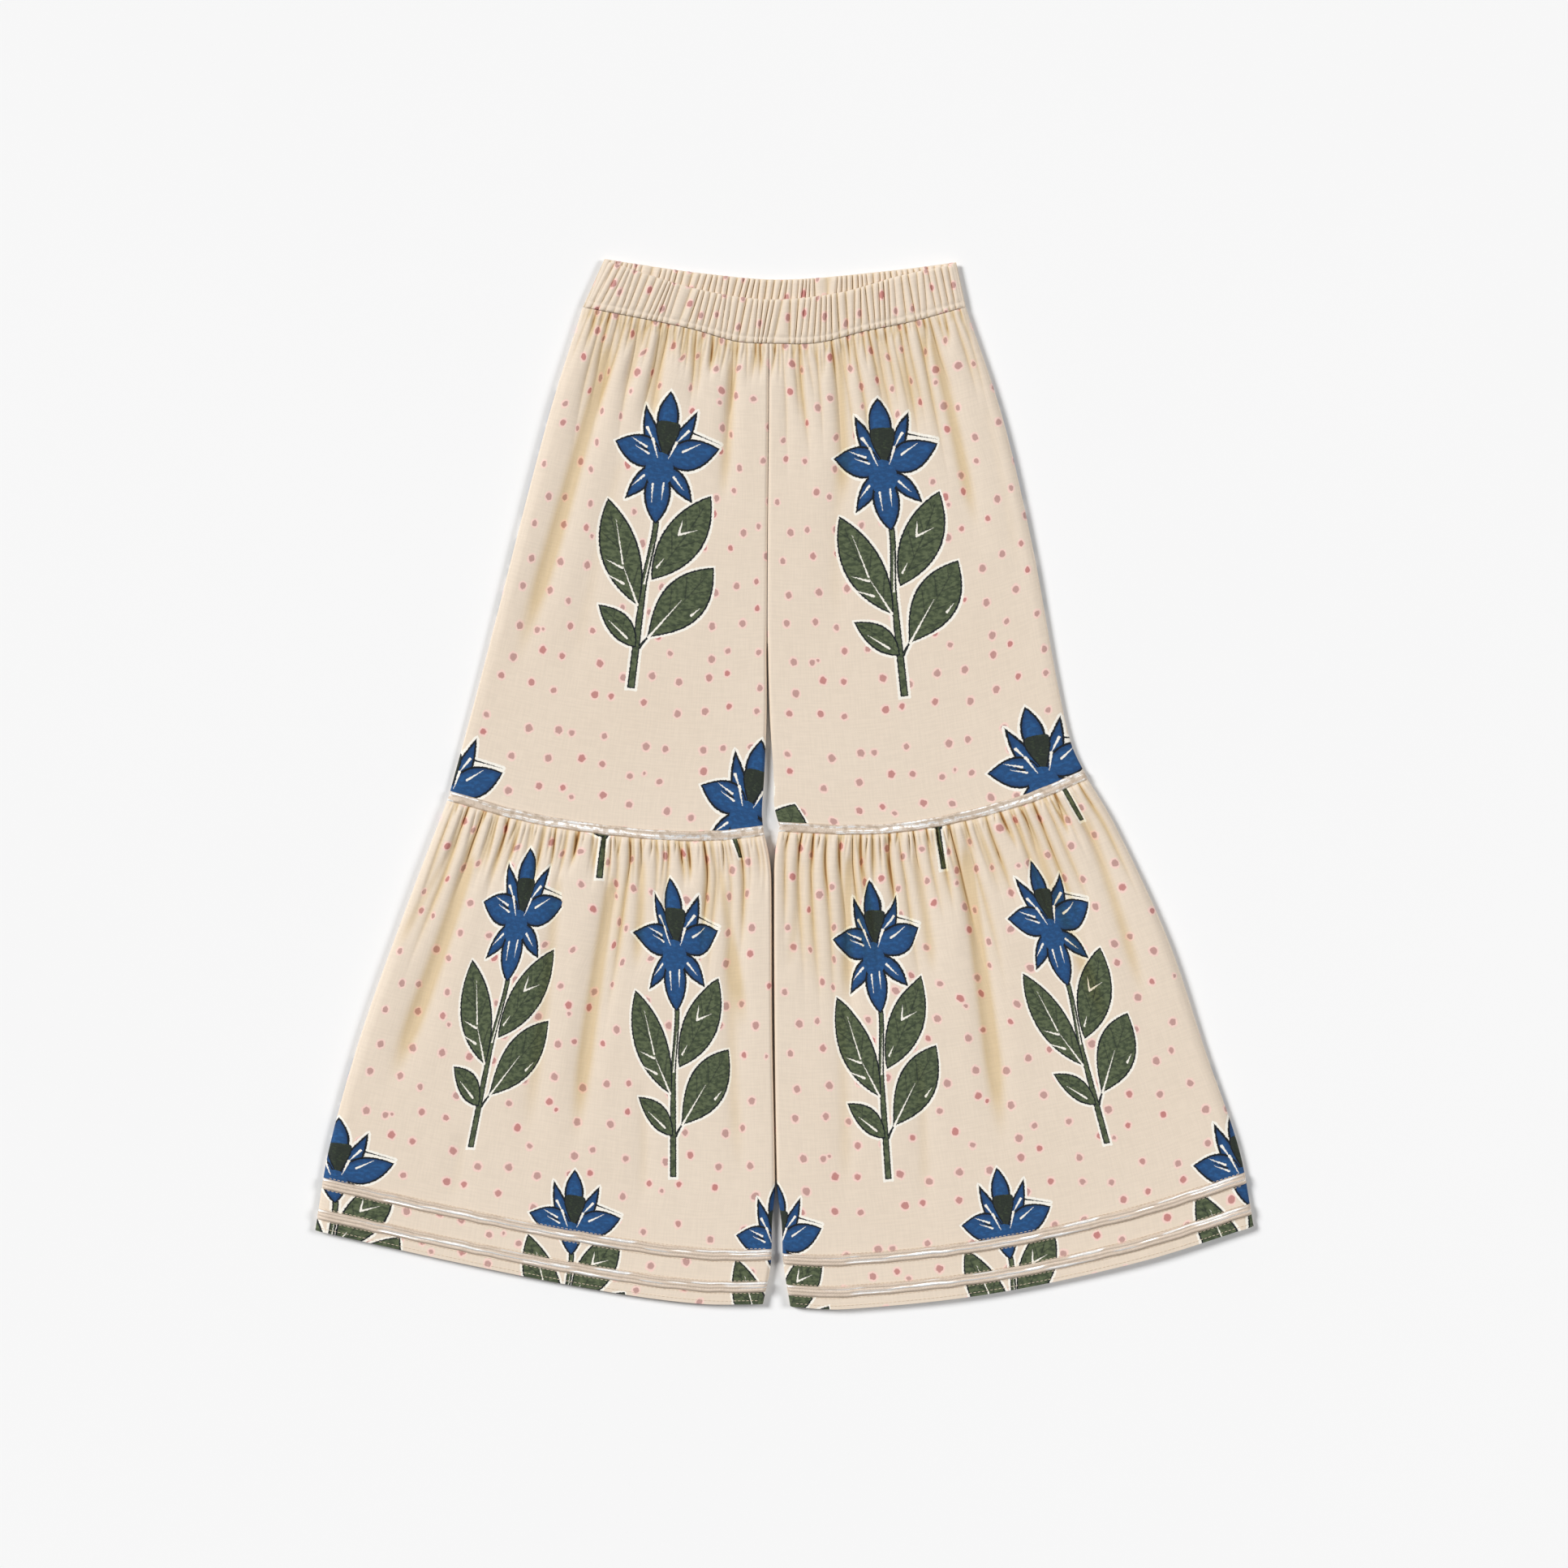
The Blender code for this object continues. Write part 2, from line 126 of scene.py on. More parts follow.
# Broad folds: a trough from one point of the flat shape to another, with its depth and half
# width, all in millimetres.
FOLD_COLUMNS = ("start_x", "start_y", "end_x", "end_y", "deep", "half")
FLOUNCE_FOLDS = {
    "right": (
        (-189, -34, -248, -202, 2.8, 7.0),
        (-198, -30, -248, -117, 1.6, 5.0),
        (-138, -42, -161, -247, 1.5, 7.0),
        (-105, -46, -132, -242, 2.6, 6.5),
        (-88, -40, -91, -127, 2.0, 5.0),
        (-88, -182, -86, -272, 1.0, 6.0),
        (-43, -42, -19, -167, 1.8, 5.5),
        (-36, -92, -26, -267, 1.3, 7.0),
        (-196, -212, -208, -267, 0.8, 7.0),
    ),
    "left": (
        (111, -27, 136, -242, 3.0, 6.5),
        (80, -34, 93, -132, 1.8, 5.0),
        (41, -37, 37, -152, 2.2, 5.5),
        (36, -132, 37, -272, 1.2, 7.0),
        (12, -42, 1, -127, 1.3, 5.0),
        (82, -162, 89, -277, 1.1, 6.5),
        (148, -17, 209, -177, 2.0, 6.5),
        (182, -10, 229, -152, 1.8, 5.5),
    ),
}
LEG_FOLDS = {
    "right": (
        (-102, 286, -173, 48, 2.6, 7.0),
        (-88, 284, -99, 233, 1.8, 4.5),
        (-73, 280, -83, 213, 2.0, 5.0),
        (-98, 213, -136, 43, 0.9, 8.0),
        (-32, 270, -39, 158, 1.8, 5.0),
    ),
    "left": (
        (35, 277, 37, 163, 2.0, 6.0),
        (34, 203, 31, 78, 0.9, 8.0),
        (59, 279, 65, 218, 1.6, 5.0),
        (88, 286, 124, 138, 2.2, 5.5),
        (124, 243, 148, 103, 0.8, 7.0),
    ),
}
FOLDS_FADE = 8.0

# What each panel was cut to, in metres, before it was gathered and sewn.
LEG_CUT = {"flat": (0.197, 0.318), "area": 0.061}
FLOUNCE_CUT = {"flat": (0.29, 0.29), "area": None}
BAND_CUT = {"flat": (0.38, 0.056), "area": None}
HIDDEN_IN_TUCK = 20.0

# The print's sprigs. A place is the hub of the flower, the lean of its stem and the slope of its
# rows in degrees, how the gathers narrow it and the folds shorten it, and how much further the
# flower leans than its stem.
SPRIG_COLUMNS = ("x", "y", "lean", "row", "wide", "tall", "nod")
LEG_SPRIGS = {
    "right": (
        (-75.0, 199.5, 7.0, 7.0, 1, 1, 0),
        (-207.4, -4.0, 0, 0, 1, 1, 0),
        (-22.8, -15.1, 11.6, 11.6, 1.02, 1.02, 0),
    ),
    "left": (
        (61.2, 195.2, -6.1, -6.1, 1, 1, 0),
        (159.8, 6.5, -16, -14, 1.1, 1, 0),
        (-62.0, 42.5, -28, 0, 1, 1, 0),
    ),
}
FLOUNCE_SPRIGS = {
    "right": (
        (-163.1, -82.0, 11.3, 3.2, 0.77, 1.02, -3),
        (-66.6, -100.3, 0, 1.8, 0.82, 1, -5),
        (-94.0, 82.5, 7.5, 4, 0.8, 1, 0),
        (-69.6, 89.5, -18, 0, 0.6, 1, 0),
        (-276.3, -241.5, 3, 2.4, 1.05, 0.85, 0),
        (-130.9, -273.6, 3, 6, 0.88, 0.85, 0),
        (-4.8, -284.5, 0, -2, 0.82, 0.91, 0),
    ),
    "left": (
        (56.1, -101.7, -4, -5, 0.84, 1, 0),
        (164.1, -87.0, -15.2, -8.8, 0.8, 0.98, -3.4),
        (81.9, 88.5, -7.2, -5, 0.8, 1, 0),
        (115.9, 102.1, -29, -15, 0.7, 1, 0),
        (-4.8, -284.5, 0, -2, 0.82, 0.91, 0),
        (136.3, -275.0, -8.4, -9.7, 0.87, 0.92, 0),
        (283.2, -240.5, -8, -5, 1, 1, 0),
    ),
}
SPRIG_TOP = 43.0
SPRIG_FOOT = -142.0
SPRIG_PITCH = {"across": 93.0, "down": 208.0}
HALF_DROP = (0.85, 0.35)
GATHERED_SPRIG = 0.85

# The panels of each leg. A panel's kind chooses its own uneven numbers.
WAIST_SEAMS = {"front": WAIST_FRONT_SEAM, "back": WAIST_BACK_SEAM}
PARTS = {
    "leg": {
        "gathers": WAIST_GATHERS, "small": SMALL_GATHERS["waist"], "folds": LEG_FOLDS,
        "sprigs": LEG_SPRIGS, "cut": LEG_CUT, "held": "laid", "below_seam": False,
        "kinds": {"front": 0, "back": 50},
    },
    "flounce": {
        "gathers": FLOUNCE_GATHERS, "small": SMALL_GATHERS["flounce"], "folds": FLOUNCE_FOLDS,
        "sprigs": FLOUNCE_SPRIGS, "cut": FLOUNCE_CUT, "held": "gathered", "below_seam": True,
        "kinds": {"front": 10, "back": 60},
    },
}

# The sprig's own shapes, in millimetres from the hub, y up to the tip. A petal or leaf runs from
# its base to its tip. Its base and tip are blunter the smaller their number is, and its middle
# curves to the left of that line, or to the right where the number is below 0.
SHAPE_COLUMNS = ("base", "tip", "half", "base_end", "tip_end", "curve")
LEAVES = (
    ((3.5, -110.0), (39.3, -62.0), 13.8, 1.15, 1.0, -1.0),
    ((-2.5, -116.5), (-28.5, -93.0), 7.4, 0.9, 1.05, -1.5),
    ((-3.8, -91.0), (-30.5, -27.5), 12.0, 0.95, 0.95, 2.0),
    ((2.0, -74.0), (32.3, -18.5), 12.6, 0.95, 0.95, -1.5),
)
LOWER_PETALS = (
    ((-3.0, -3.0), (-20.2, -26.6), 5.3, 0.7, 1.05, 0.0),
    ((4.0, -4.0), (21.4, -24.4), 5.3, 0.7, 1.05, 0.0),
    ((-1.5, -6.0), (0.4, -39.5), 8.4, 0.6, 0.8, 0.0),
)
UPPER_PETALS = (
    ((0.5, 12.0), (0.1, 42.8), 6.8, 0.8, 1.0, 0.0),
    ((-2.5, 0.0), (-14.4, 33.4), 5.2, 0.55, 1.05, 0.6),
    ((3.0, 0.0), (18.0, 32.4), 5.4, 0.55, 1.05, -0.6),
)
WEDGE = ((1.0, -0.5), (1.1, 24.0), 7.6, 1.1, 0.2, 0.0)
SIDE_PETALS = (
    ((-1.0, 0.0), (-30.6, 8.3), 10.0, 0.75, 1.05, -0.8),
    ((2.0, 0.0), (34.0, 10.9), 9.8, 0.75, 1.0, 0.0),
)
HUB = ((-1.3, -17.0), (-1.3, 4.5), 8.6, 0.5, 0.5, 0.0)
STEM = {"top": -41.0, "foot": -141.8, "x_top": 0.7, "x_below": -2.3, "bend_ends": -82.0, "half": 1.9}
STROKE_COLUMNS = ("start", "end", "half")
CREAM_STROKES = (
    ((-11.4, 18.8), (-7.4, 11.5), 0.75), ((-7.4, 12.0), (-3.3, 1.0), 0.75),
    ((13.8, 19.5), (7.1, 11.2), 0.7), ((7.3, 11.6), (3.5, 1.0), 0.7),
    ((-4.2, -15.6), (-3.6, -26.7), 0.55), ((2.4, -14.3), (2.3, -24.7), 0.55),
    ((-10.3, -10.9), (-16.9, -18.0), 0.6), ((8.1, -9.9), (15.1, -17.0), 0.6),
    ((-10.8, 7.0), (-20.4, 11.6), 0.6), ((-9.0, 2.9), (-17.5, 7.0), 0.5),
    ((11.9, 6.4), (22.0, 12.4), 0.65),
)
VEINS = (
    ((-16.5, -66.5), (-24.0, -39.5), 0.45), ((-4.5, -90.5), (-16.2, -67.5), 0.6),
    ((-16.5, -69.0), (-27.0, -65.0), 0.6), ((-14.5, -78.5), (-25.5, -74.0), 0.6),
    ((15.5, -44.5), (16.8, -35.5), 0.6), ((15.5, -44.5), (26.5, -40.5), 0.6),
    ((4.5, -66.0), (8.5, -60.0), 0.55), ((4.5, -109.5), (22.0, -84.5), 0.65),
    ((29.0, -93.0), (34.0, -88.0), 0.6), ((-8.5, -111.5), (-20.8, -102.0), 0.6),
)
DARK_STROKES = (((-10.0, 5.0), (-19.0, 9.4), 0.6), ((17.0, 18.4), (34.0, 13.5), 0.45))
STEM_SHINE = ((-1.9, -77.0), (0.6, -52.0), 0.45)
LEAF_STALK = ((-2.0, -118.5), (7.5, -104.5), 1.0)
HALO = 1.6
INK_EDGE = 0.2
OUTLINE_WIDE = 1.25
THIN_OUTLINE = 0.7
LEAF_OUTLINE = 1.0
VEINS_ALONG_LEAF = 4.2

# Scatters of dots: pitch as a multiple of the large dots' pitch, least and most radius in
# millimetres, and the pattern's shift.
DOT_COLUMNS = ("pitch", "least", "most", "shift")
DOT_LAYERS = ((4.0, 0.9, 1.4, 0.131), (1.0, 1.75, 2.35, 0.013))
DOTS_UNEVEN = 0.62

# How the cloth's creases run, in millimetres: half width, widening a millimetre, drift and sway.
CREASE_HALF = 0.75
CREASE_WIDENS = 0.018
CREASE_DRIFT = 7.0
CREASE_SWAY = 0.5
FOLD_SWAY = 0.8
UNEASE = 0.25
GATHERS_RISE = 2.5

# How the cloth turns down to the back panel at its sides, in millimetres.
SEAM_TURN = 1.0
OUTER_ROLL = 7.0
INNER_ROLL = 2.2
SEAM_LEVEL = 1.25

# How much cloth the creases take up, and over how many columns the print's shift evens out.
CLOTH_IN_CREASES = 1.8
SHIFT_OVER = 34

# The depth at which a fold has its full painted shade, and how the broad folds count in depth and in
# painted shade.
DEEP_FOLD = 3.0
BROAD_FOLD_SHADE = 1.3
BROAD_FOLD_DEPTH = 0.75
BROAD_FOLD_MOST = 1.5

# The meshes' columns and rows. Where the power is above 1, rows lie closer near the top.
PANEL_GRIDS = {"front": (330, 78), "back": (120, 60)}
ROWS_TO_TOP = {"front": 1.25, "back": 1.0}
BAND_COLUMNS = 760
BRAID_GRID = (300, 14)

# Cloth that the scene lays on the solids, in millimetres.
CLOTH_THICK = 0.5
BAND_CLOTH_THICK = 0.3
BRAID_SHELL = 0.7
BACK_CREASE = 0.6

# The waistband's section: share down the front from the top fold, and share of its thickness.
BAND_SECTION = (
    (0.00, 0.50), (0.012, 0.74), (0.04, 0.90), (0.10, 0.99), (0.22, 1.0), (0.36, 1.0),
    (0.50, 1.0), (0.64, 1.0), (0.76, 1.0), (0.84, 0.96), (0.875, 0.80), (0.90, 0.93),
    (0.95, 0.93), (0.985, 0.84), (1.0, 0.62), (1.0, 0.30), (0.97, 0.12), (0.90, 0.04),
    (0.70, 0.0), (0.40, 0.0), (0.10, 0.0), (0.03, 0.10), (0.00, 0.30),
)
BAND_WIDE = 28.0
BAND_EDGE = 2.0
BAND_STITCH_AT = 0.875
BAND_END_ROUND = 7.0
BAND_END_LEVEL = 14.0
BAND_MEETS = 2.7
RUCHES = 57
RUCHE_DEEP = {"outside": 2.2, "inside": 1.0}
RUCHE_RISE = 0.6
RUCHES_UNEVEN = 1.4
RUCHE_LEAN = 1.44
CLOTH_IN_RUCHES = 0.9
SCALLOP = 0.012

# A braid's ribs, and how deep they are as a share of it.
SEAM_BRAID_RIBS = 2
HEM_BRAID_RIBS = 3
RIB_DEEP = 0.22

# Stitches: the thread's thickness, the length of a stitch and of the gap after it, and where
# the lines of stitches run.
THREAD = 0.42
STITCH = 1.9
STITCH_GAP = 0.75
HEM_STITCH_ABOVE = 2.2
STITCH_BESIDE_BRAID = 0.5
STITCHES_RUN = (0.012, 0.988)

# The stage, in metres.
FLOOR_SIZE = 12.0
FLOOR_BELOW = 0.0006
CAMERA_X = -0.00025
CLOTH_TOP = 0.004


def clamp(value):
    return np.clip(value, 0.0, 1.0)


def ease(low, high, value):
    """0 below low, 1 above high, and smooth between."""
    share = clamp((value - low) / (high - low))
    return share * share * (3 - 2 * share)


def uneven(index, kind):
    """A fixed number from 0 to 1 that looks random."""
    return math.sin(index * 12.9898 + kind * 78.233) * 43758.5453 % 1.0


def bump_at(away, half):
    return np.exp(-((away / half) ** 2))


class Path:
    """A smooth curve through the points, read at shares of its length."""

    def __init__(self, points):
        self.points = np.array(points, float)
        steps = np.linalg.norm(np.diff(self.points, axis=0), axis=1)
        self.knots = np.concatenate(([0.0], np.cumsum(steps))) / steps.sum()
        count = len(self.points)
        before = np.maximum(np.arange(count) - 1, 0)
        after = np.minimum(np.arange(count) + 1, count - 1)
        along = (self.knots[after] - self.knots[before])[:, None]
        self.slopes = (self.points[after] - self.points[before]) / along

    def __call__(self, share):
        share = np.asarray(share, float)
        i = np.searchsorted(self.knots, share, side="right") - 1
        i = np.clip(i, 0, len(self.points) - 2)
        long = self.knots[i + 1] - self.knots[i]
        u = ((share - self.knots[i]) / long)[..., None]
        long = long[..., None]
        start = self.points[i] * (1 + 2 * u) * (1 - u) ** 2
        start = start + self.slopes[i] * long * u * (1 - u) ** 2
        end = self.points[i + 1] * u * u * (3 - 2 * u)
        return start + end + self.slopes[i + 1] * long * u * u * (u - 1)

    def share_at_x(self, x):
        """Where the curve, which runs to the right, passes x."""
        low, high = 0.0, 1.0
        for _ in range(40):
            middle = (low + high) / 2
            low, high = (middle, high) if self(middle)[0] < x else (low, middle)
        return low


def stretch(path, start, end):
    """The part of the curve between two shares of its length."""
    return lambda share: path(start + (end - start) * np.asarray(share, float))


def moved(path, x, y):
    return lambda share: path(share) + np.array((x, y))


def patch(top, bottom, left, right):
    """A panel's flat shape between its four edges. The side edges are drawn to the ends of
    the top and bottom ones."""

    def side(path, share, top_end, bottom_end):
        path_start, path_end = top_end - path(0.0), bottom_end - path(1.0)
        return path(share) + path_start * (1 - share[..., None]) + path_end * share[..., None]

    def at(s, t):
        s, t = np.asarray(s, float), np.asarray(t, float)
        across, down = s[..., None], t[..., None]
        edges = (
            top(s) * (1 - down)
            + bottom(s) * down
            + side(left, t, top(0.0), bottom(0.0)) * (1 - across)
            + side(right, t, top(1.0), bottom(1.0)) * across
        )
        upper = top(0.0) * (1 - across) + top(1.0) * across
        lower = bottom(0.0) * (1 - across) + bottom(1.0) * across
        return edges - upper * (1 - down) - lower * down

    return at


def leg_shapes(side, waist_seam):
    """The flat shapes of an upper leg and of its flounce."""
    waist = Path(waist_seam)
    centre = waist.share_at_x(CENTRE_X)
    half_gap = SEAM_GAP / 2
    if OUTER_AT_START[side]:
        top = moved(stretch(waist, 0, centre), -half_gap, -SEAM_GAP)
        leg_edges, flounce_edges = ("outseam", "inseam"), ("flounce_out", "flounce_in")
    else:
        top = moved(stretch(waist, centre, 1), half_gap, -SEAM_GAP)
        leg_edges, flounce_edges = ("inseam", "outseam"), ("flounce_in", "flounce_out")
    paths = {name: Path(points) for name, points in OUTLINES[side].items()}
    flounce_top = moved(paths["knee"], 0, -SEAM_GAP)
    return {
        "leg": patch(top, paths["knee"], *(paths[name] for name in leg_edges)),
        "flounce": patch(flounce_top, paths["hem"], *(paths[name] for name in flounce_edges)),
    }


class Panel:
    """A panel of a leg: its flat shape, its gathers and folds, and how its print lies."""

    def __init__(self, part, side, face):
        made = PARTS[part]
        self.name = f"{part}_{face}_{side}"
        self.shape = leg_shapes(side, WAIST_SEAMS[face])[part]
        self.kind = KINDS[side] + made["kinds"][face]
        self.gathers, self.small = made["gathers"], made["small"]
        self.cut, self.held = made["cut"], made["held"]
        self.below_seam = made["below_seam"]
        self.outer_at_start = OUTER_AT_START[side]
        self.covered = SEAM_BRAID_WIDE / 2 if self.below_seam else 0.0
        self.long = np.linalg.norm(self.shape(0.5, 1.0) - self.shape(0.5, 0.0))
        self.places = self.gather_places(GATHERS, self.kind)
        self.small_places = self.gather_places(self.small["count"], self.kind + 30)
        self.folds = [dict(zip(FOLD_COLUMNS, row)) for row in made["folds"][side]]
        sprigs = made["sprigs"][side] if face == "front" else self.hidden_sprigs()
        self.sprigs = [dict(zip(SPRIG_COLUMNS, row)) for row in sprigs]

    @staticmethod
    def gather_places(count, kind):
        """Where each gather's crease starts across the panel, unevenly spaced, ends included."""
        inner = [(k + 0.5 * (uneven(k, kind) - 0.5)) / count for k in range(1, count)]
        return [0.0, *inner, 1.0]

    def hidden_sprigs(self):
        """Sprigs in half-drop rows, as the print has them, where the front hides the panel."""
        start = self.shape(0.5, 0.0)
        wide = GATHERED_SPRIG if self.below_seam else 1.0
        found = []
        for column in range(-2, 3):
            drop = SPRIG_PITCH["down"] * HALF_DROP[column % 2]
            for repeat in (-1, 0, 1):
                x = start[0] + column * SPRIG_PITCH["across"] * wide
                y = start[1] - drop - repeat * SPRIG_PITCH["down"] * 2
                found.append((x, y, 0, 0, wide, 1, 0))
        return found

    def wide(self, t):
        """How wide the panel is at each share of its length."""
        return np.linalg.norm(self.shape(np.ones_like(t), t) - self.shape(np.zeros_like(t), t), axis=-1)

    def roll(self, s, t, flat, wide):
        """0 at a side that lies on the back panel, and 1 inside."""
        joined = 1.0 if self.below_seam else 0.0
        open_below = ease(CROTCH_Y + CROTCH_BLEND, CROTCH_Y - CROTCH_BLEND, flat[..., 1])
        inner_level = CENTRE_SEAM_LEVEL * (1 - np.maximum(joined, open_below))
        from_outer, from_inner = (s, 1 - s) if self.outer_at_start else (1 - s, s)
        outer = (1 - clamp(from_outer * wide / OUTER_ROLL)) ** 2
        inner = (1 - inner_level) * (1 - clamp(from_inner * wide / INNER_ROLL)) ** 2
        return np.maximum(0.0, 1 - outer - inner)

    def closing(self, s, flat, wide):
        """0 at a side seam and 1 away from it, where the cloth turns down to the back panel."""
        joined = 0.0 if self.below_seam else 1.0
        centre = joined * ease(CROTCH_Y - CROTCH_BLEND, CROTCH_Y + CROTCH_BLEND, flat[..., 1])
        from_outer, from_inner = (s, 1 - s) if self.outer_at_start else (1 - s, s)
        from_inner = from_inner * wide + EDGE_ROLL * centre
        nearest = np.minimum(from_outer * wide, from_inner)
        return np.sqrt(1 - (1 - clamp(nearest / SEAM_TURN)) ** 2)

    def gathered(self, down):
        """How high the gathers stand between their creases."""
        held = HELD_IN_WAISTBAND if not self.covered else 1.0
        rise = 1 - held * (1 - ease(self.covered - 0.1, self.covered + GATHERS_RISE, down))
        fall = ease(60, self.long, down)
        return rise * (self.gathers["high"] * (1 - fall) + self.gathers["hem"] * fall)

    def creases(self, s, down, wide):
        """How deep the gathers' creases cut here, as a share of the gathers' height."""
        total = np.zeros_like(s)
        span = self.gathers["most"] - self.gathers["least"]
        for k in range(1, GATHERS):
            long = self.gathers["least"] + span * uneven(k, self.kind + 2) ** 1.6
            deep = 0.55 + 0.45 * uneven(k, self.kind + 1)
            drift = CREASE_DRIFT * (uneven(k, self.kind + 3) - 0.5) * ease(0, long, down)
            sway = CREASE_SWAY * np.sin(down / 17 + 6.3 * uneven(k, self.kind + 4))
            away = np.abs((s - self.places[k]) * wide + drift + sway * ease(0, 30, down))
            half = CREASE_HALF + down * CREASE_WIDENS
            trough = 0.6 * np.exp(-away / half) + 0.4 * bump_at(away, 2.4 * half)
            total += deep * (1 - ease(0.35 * long, long, down)) * trough
        return clamp(total)

    def small_creases(self, s, down, wide):
        """How deep the small gathers between them cut here."""
        total = np.zeros_like(s)
        span = self.small["most"] - self.small["least"]
        for k in range(1, self.small["count"]):
            long = self.small["least"] + span * uneven(k, self.kind + 32) ** 2
            deep = 0.4 + 0.6 * uneven(k, self.kind + 31)
            lean = 5.0 * (uneven(k, self.kind + 33) - 0.5) * ease(0, long, down)
            away = (s - self.small_places[k]) * wide + lean
            half = self.small["narrow"] + down * 0.02
            total += deep * (1 - ease(0.3 * long, long, down)) * bump_at(away, half)
        return self.small["deep"] * clamp(total)

    def broad_folds(self, flat, down):
        """How deep the broad folds cut here. They fade out before a seam under a braid."""
        total = np.zeros_like(down)
        for fold in self.folds:
            start = np.array((fold["start_x"], fold["start_y"]), float)
            along = np.array((fold["end_x"], fold["end_y"]), float) - start
            run = (flat - start) @ along / (along @ along)
            offset = flat - start - run[..., None] * along
            side = (offset @ np.array((along[1], -along[0]))) / np.linalg.norm(along)
            side = side + FOLD_SWAY * np.sin(run * 5 + start[0])
            ends = ease(0, 0.12, run) * ease(1, 0.62, run)
            half = fold["half"] * (0.75 + 0.5 * clamp(run))
            trough = 0.6 * bump_at(side, 0.7 * half) + 0.4 * bump_at(side, 1.4 * half)
            ridges = bump_at(side - 2.1 * half, 0.9 * half) + bump_at(side + 2.1 * half, 0.9 * half)
            total += BROAD_FOLD_DEPTH * fold["deep"] * ends * (trough - 0.16 * ridges)
        clear_of_seam = ease(self.covered, self.covered + FOLDS_FADE, down)
        return total * clear_of_seam * ease(0, FOLDS_FADE, self.long - down - SEAM_BRAID_WIDE)

    def surface(self, s, t):
        """The outer face of the cloth in millimetres, how far into a fold each point is, which sets the
        painted shade there, and how much of the cloth the gathers take up there."""
        flat = self.shape(s, t)
        wide = self.wide(t)
        down = t * self.long
        gathered = self.gathered(down)
        creases = self.creases(s, down, wide)
        small = self.small_creases(s, down, wide)
        folds = self.broad_folds(flat, down)
        body = PUFF + gathered * (1 - creases) - folds - small * gathered * (1 - creases)
        body = body + UNEASE * np.sin(flat[..., 0] / 19 + self.kind) * np.sin(flat[..., 1] / 27)
        high = FRONT_EDGE_TOP + self.roll(s, t, flat, wide) * np.maximum(0.0, body)
        high = SEAM_LEVEL + (high - SEAM_LEVEL) * self.closing(s, flat, wide)
        # Painted shade: how deep the gathers' creases or the broad folds are here, which darkens and warms
        # the colour.
        held = self.gathers["high"] * ease(1.1 * self.long, 0, down)
        broad = BROAD_FOLD_SHADE * np.clip(folds, 0, BROAD_FOLD_MOST)
        tucked = np.maximum((creases + small) * held, broad)
        painted_fold_shade = clamp(tucked / DEEP_FOLD)
        return np.dstack((flat, high)), painted_fold_shade, creases + small

    def underside(self, s, t):
        """The same for a back panel, which lies flat, with shallow creases underneath, whose depth also
        sets the painted shade.
        """
        creases = self.creases(s, t * self.long, self.wide(t))
        return np.dstack((self.shape(s, t), BACK_CREASE * creases)), creases, creases

    def cloth_places(self, s, t, creases):
        """Each point's place in the flat cloth in millimetres, where creases take up more of it,
        and how far the crease there shifts the print sideways."""
        rate = 1 + CLOTH_IN_CREASES * creases
        steps = np.diff(s, axis=1) * (rate[:, 1:] + rate[:, :-1]) / 2
        across = np.hstack((np.zeros((len(s), 1)), np.cumsum(steps, axis=1)))
        across = across / across[:, -1:]
        shift = (across - s) * self.wide(t)
        pad = SHIFT_OVER // 2
        padded = np.pad(shift, ((0, 0), (pad, pad)), mode="edge")
        sums = np.cumsum(np.pad(padded, ((0, 0), (1, 0))), axis=1)
        average = (sums[:, 2 * pad:] - sums[:, :-2 * pad]) / (2 * pad)
        fine = shift - average[:, : shift.shape[1]]
        return np.dstack((across * self.cut["flat"][0] / MM, -t * self.long)), fine


def new_grid(name, columns, rows):
    """A flat grid, with each of its points' column and row, the top row first."""
    bpy.ops.object.select_all(action="DESELECT")
    bpy.ops.mesh.primitive_grid_add(x_subdivisions=columns, y_subdivisions=rows, size=1)
    obj = bpy.context.object
    obj.name = obj.data.name = name
    found = np.empty(len(obj.data.vertices) * 3)
    obj.data.vertices.foreach_get("co", found)
    found = found.reshape(-1, 3)
    across = np.unique(found[:, 0].round(6), return_inverse=True)[1]
    down = np.unique((-found[:, 1]).round(6), return_inverse=True)[1]
    return obj, across, down


def set_places(obj, points):
    """Puts the mesh's points where they are wanted, given in millimetres."""
    obj.data.vertices.foreach_set("co", (np.asarray(points) * MM).ravel())
    obj.data.update()


def loop_points(obj):
    """The points at each face's corners, four to a face."""
    corners = np.empty(len(obj.data.loops), int)
    obj.data.loops.foreach_get("vertex_index", corners)
    return corners.reshape(-1, 4)


def set_uv(obj, name, values):
    layer = obj.data.uv_layers.get(name) or obj.data.uv_layers.new(name=name)
    layer.data.foreach_set("uv", np.asarray(values, float).ravel())


def set_point_value(obj, name, values):
    attribute = obj.data.attributes.new(name, "FLOAT", "POINT")
    attribute.data.foreach_set("value", np.asarray(values, float).ravel())


def apply_modifier(obj, kind, **settings):
    modifier = obj.modifiers.new(kind.lower(), kind)
    for name, value in settings.items():
        setattr(modifier, name, value)
    bpy.context.view_layer.objects.active = obj
    bpy.ops.object.modifier_apply(modifier=modifier.name)


def make_shell(obj, thick, outwards=False):
    """Gives the sheet its thickness, in millimetres, and smooth shading."""
    offset = 1.0 if outwards else -1.0
    apply_modifier(obj, "SOLIDIFY", thickness=thick * MM, offset=offset, use_rim=True)
    bpy.ops.object.select_all(action="DESELECT")
    obj.select_set(True)
    bpy.context.view_layer.objects.active = obj
    bpy.ops.object.shade_smooth_by_angle(angle=math.radians(70))


def finish_piece(obj, material, replaces=()):
    obj.data.materials.clear()
    obj.data.materials.append(material)
    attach(obj, "root")
    if replaces:
        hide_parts(*replaces)
    return obj


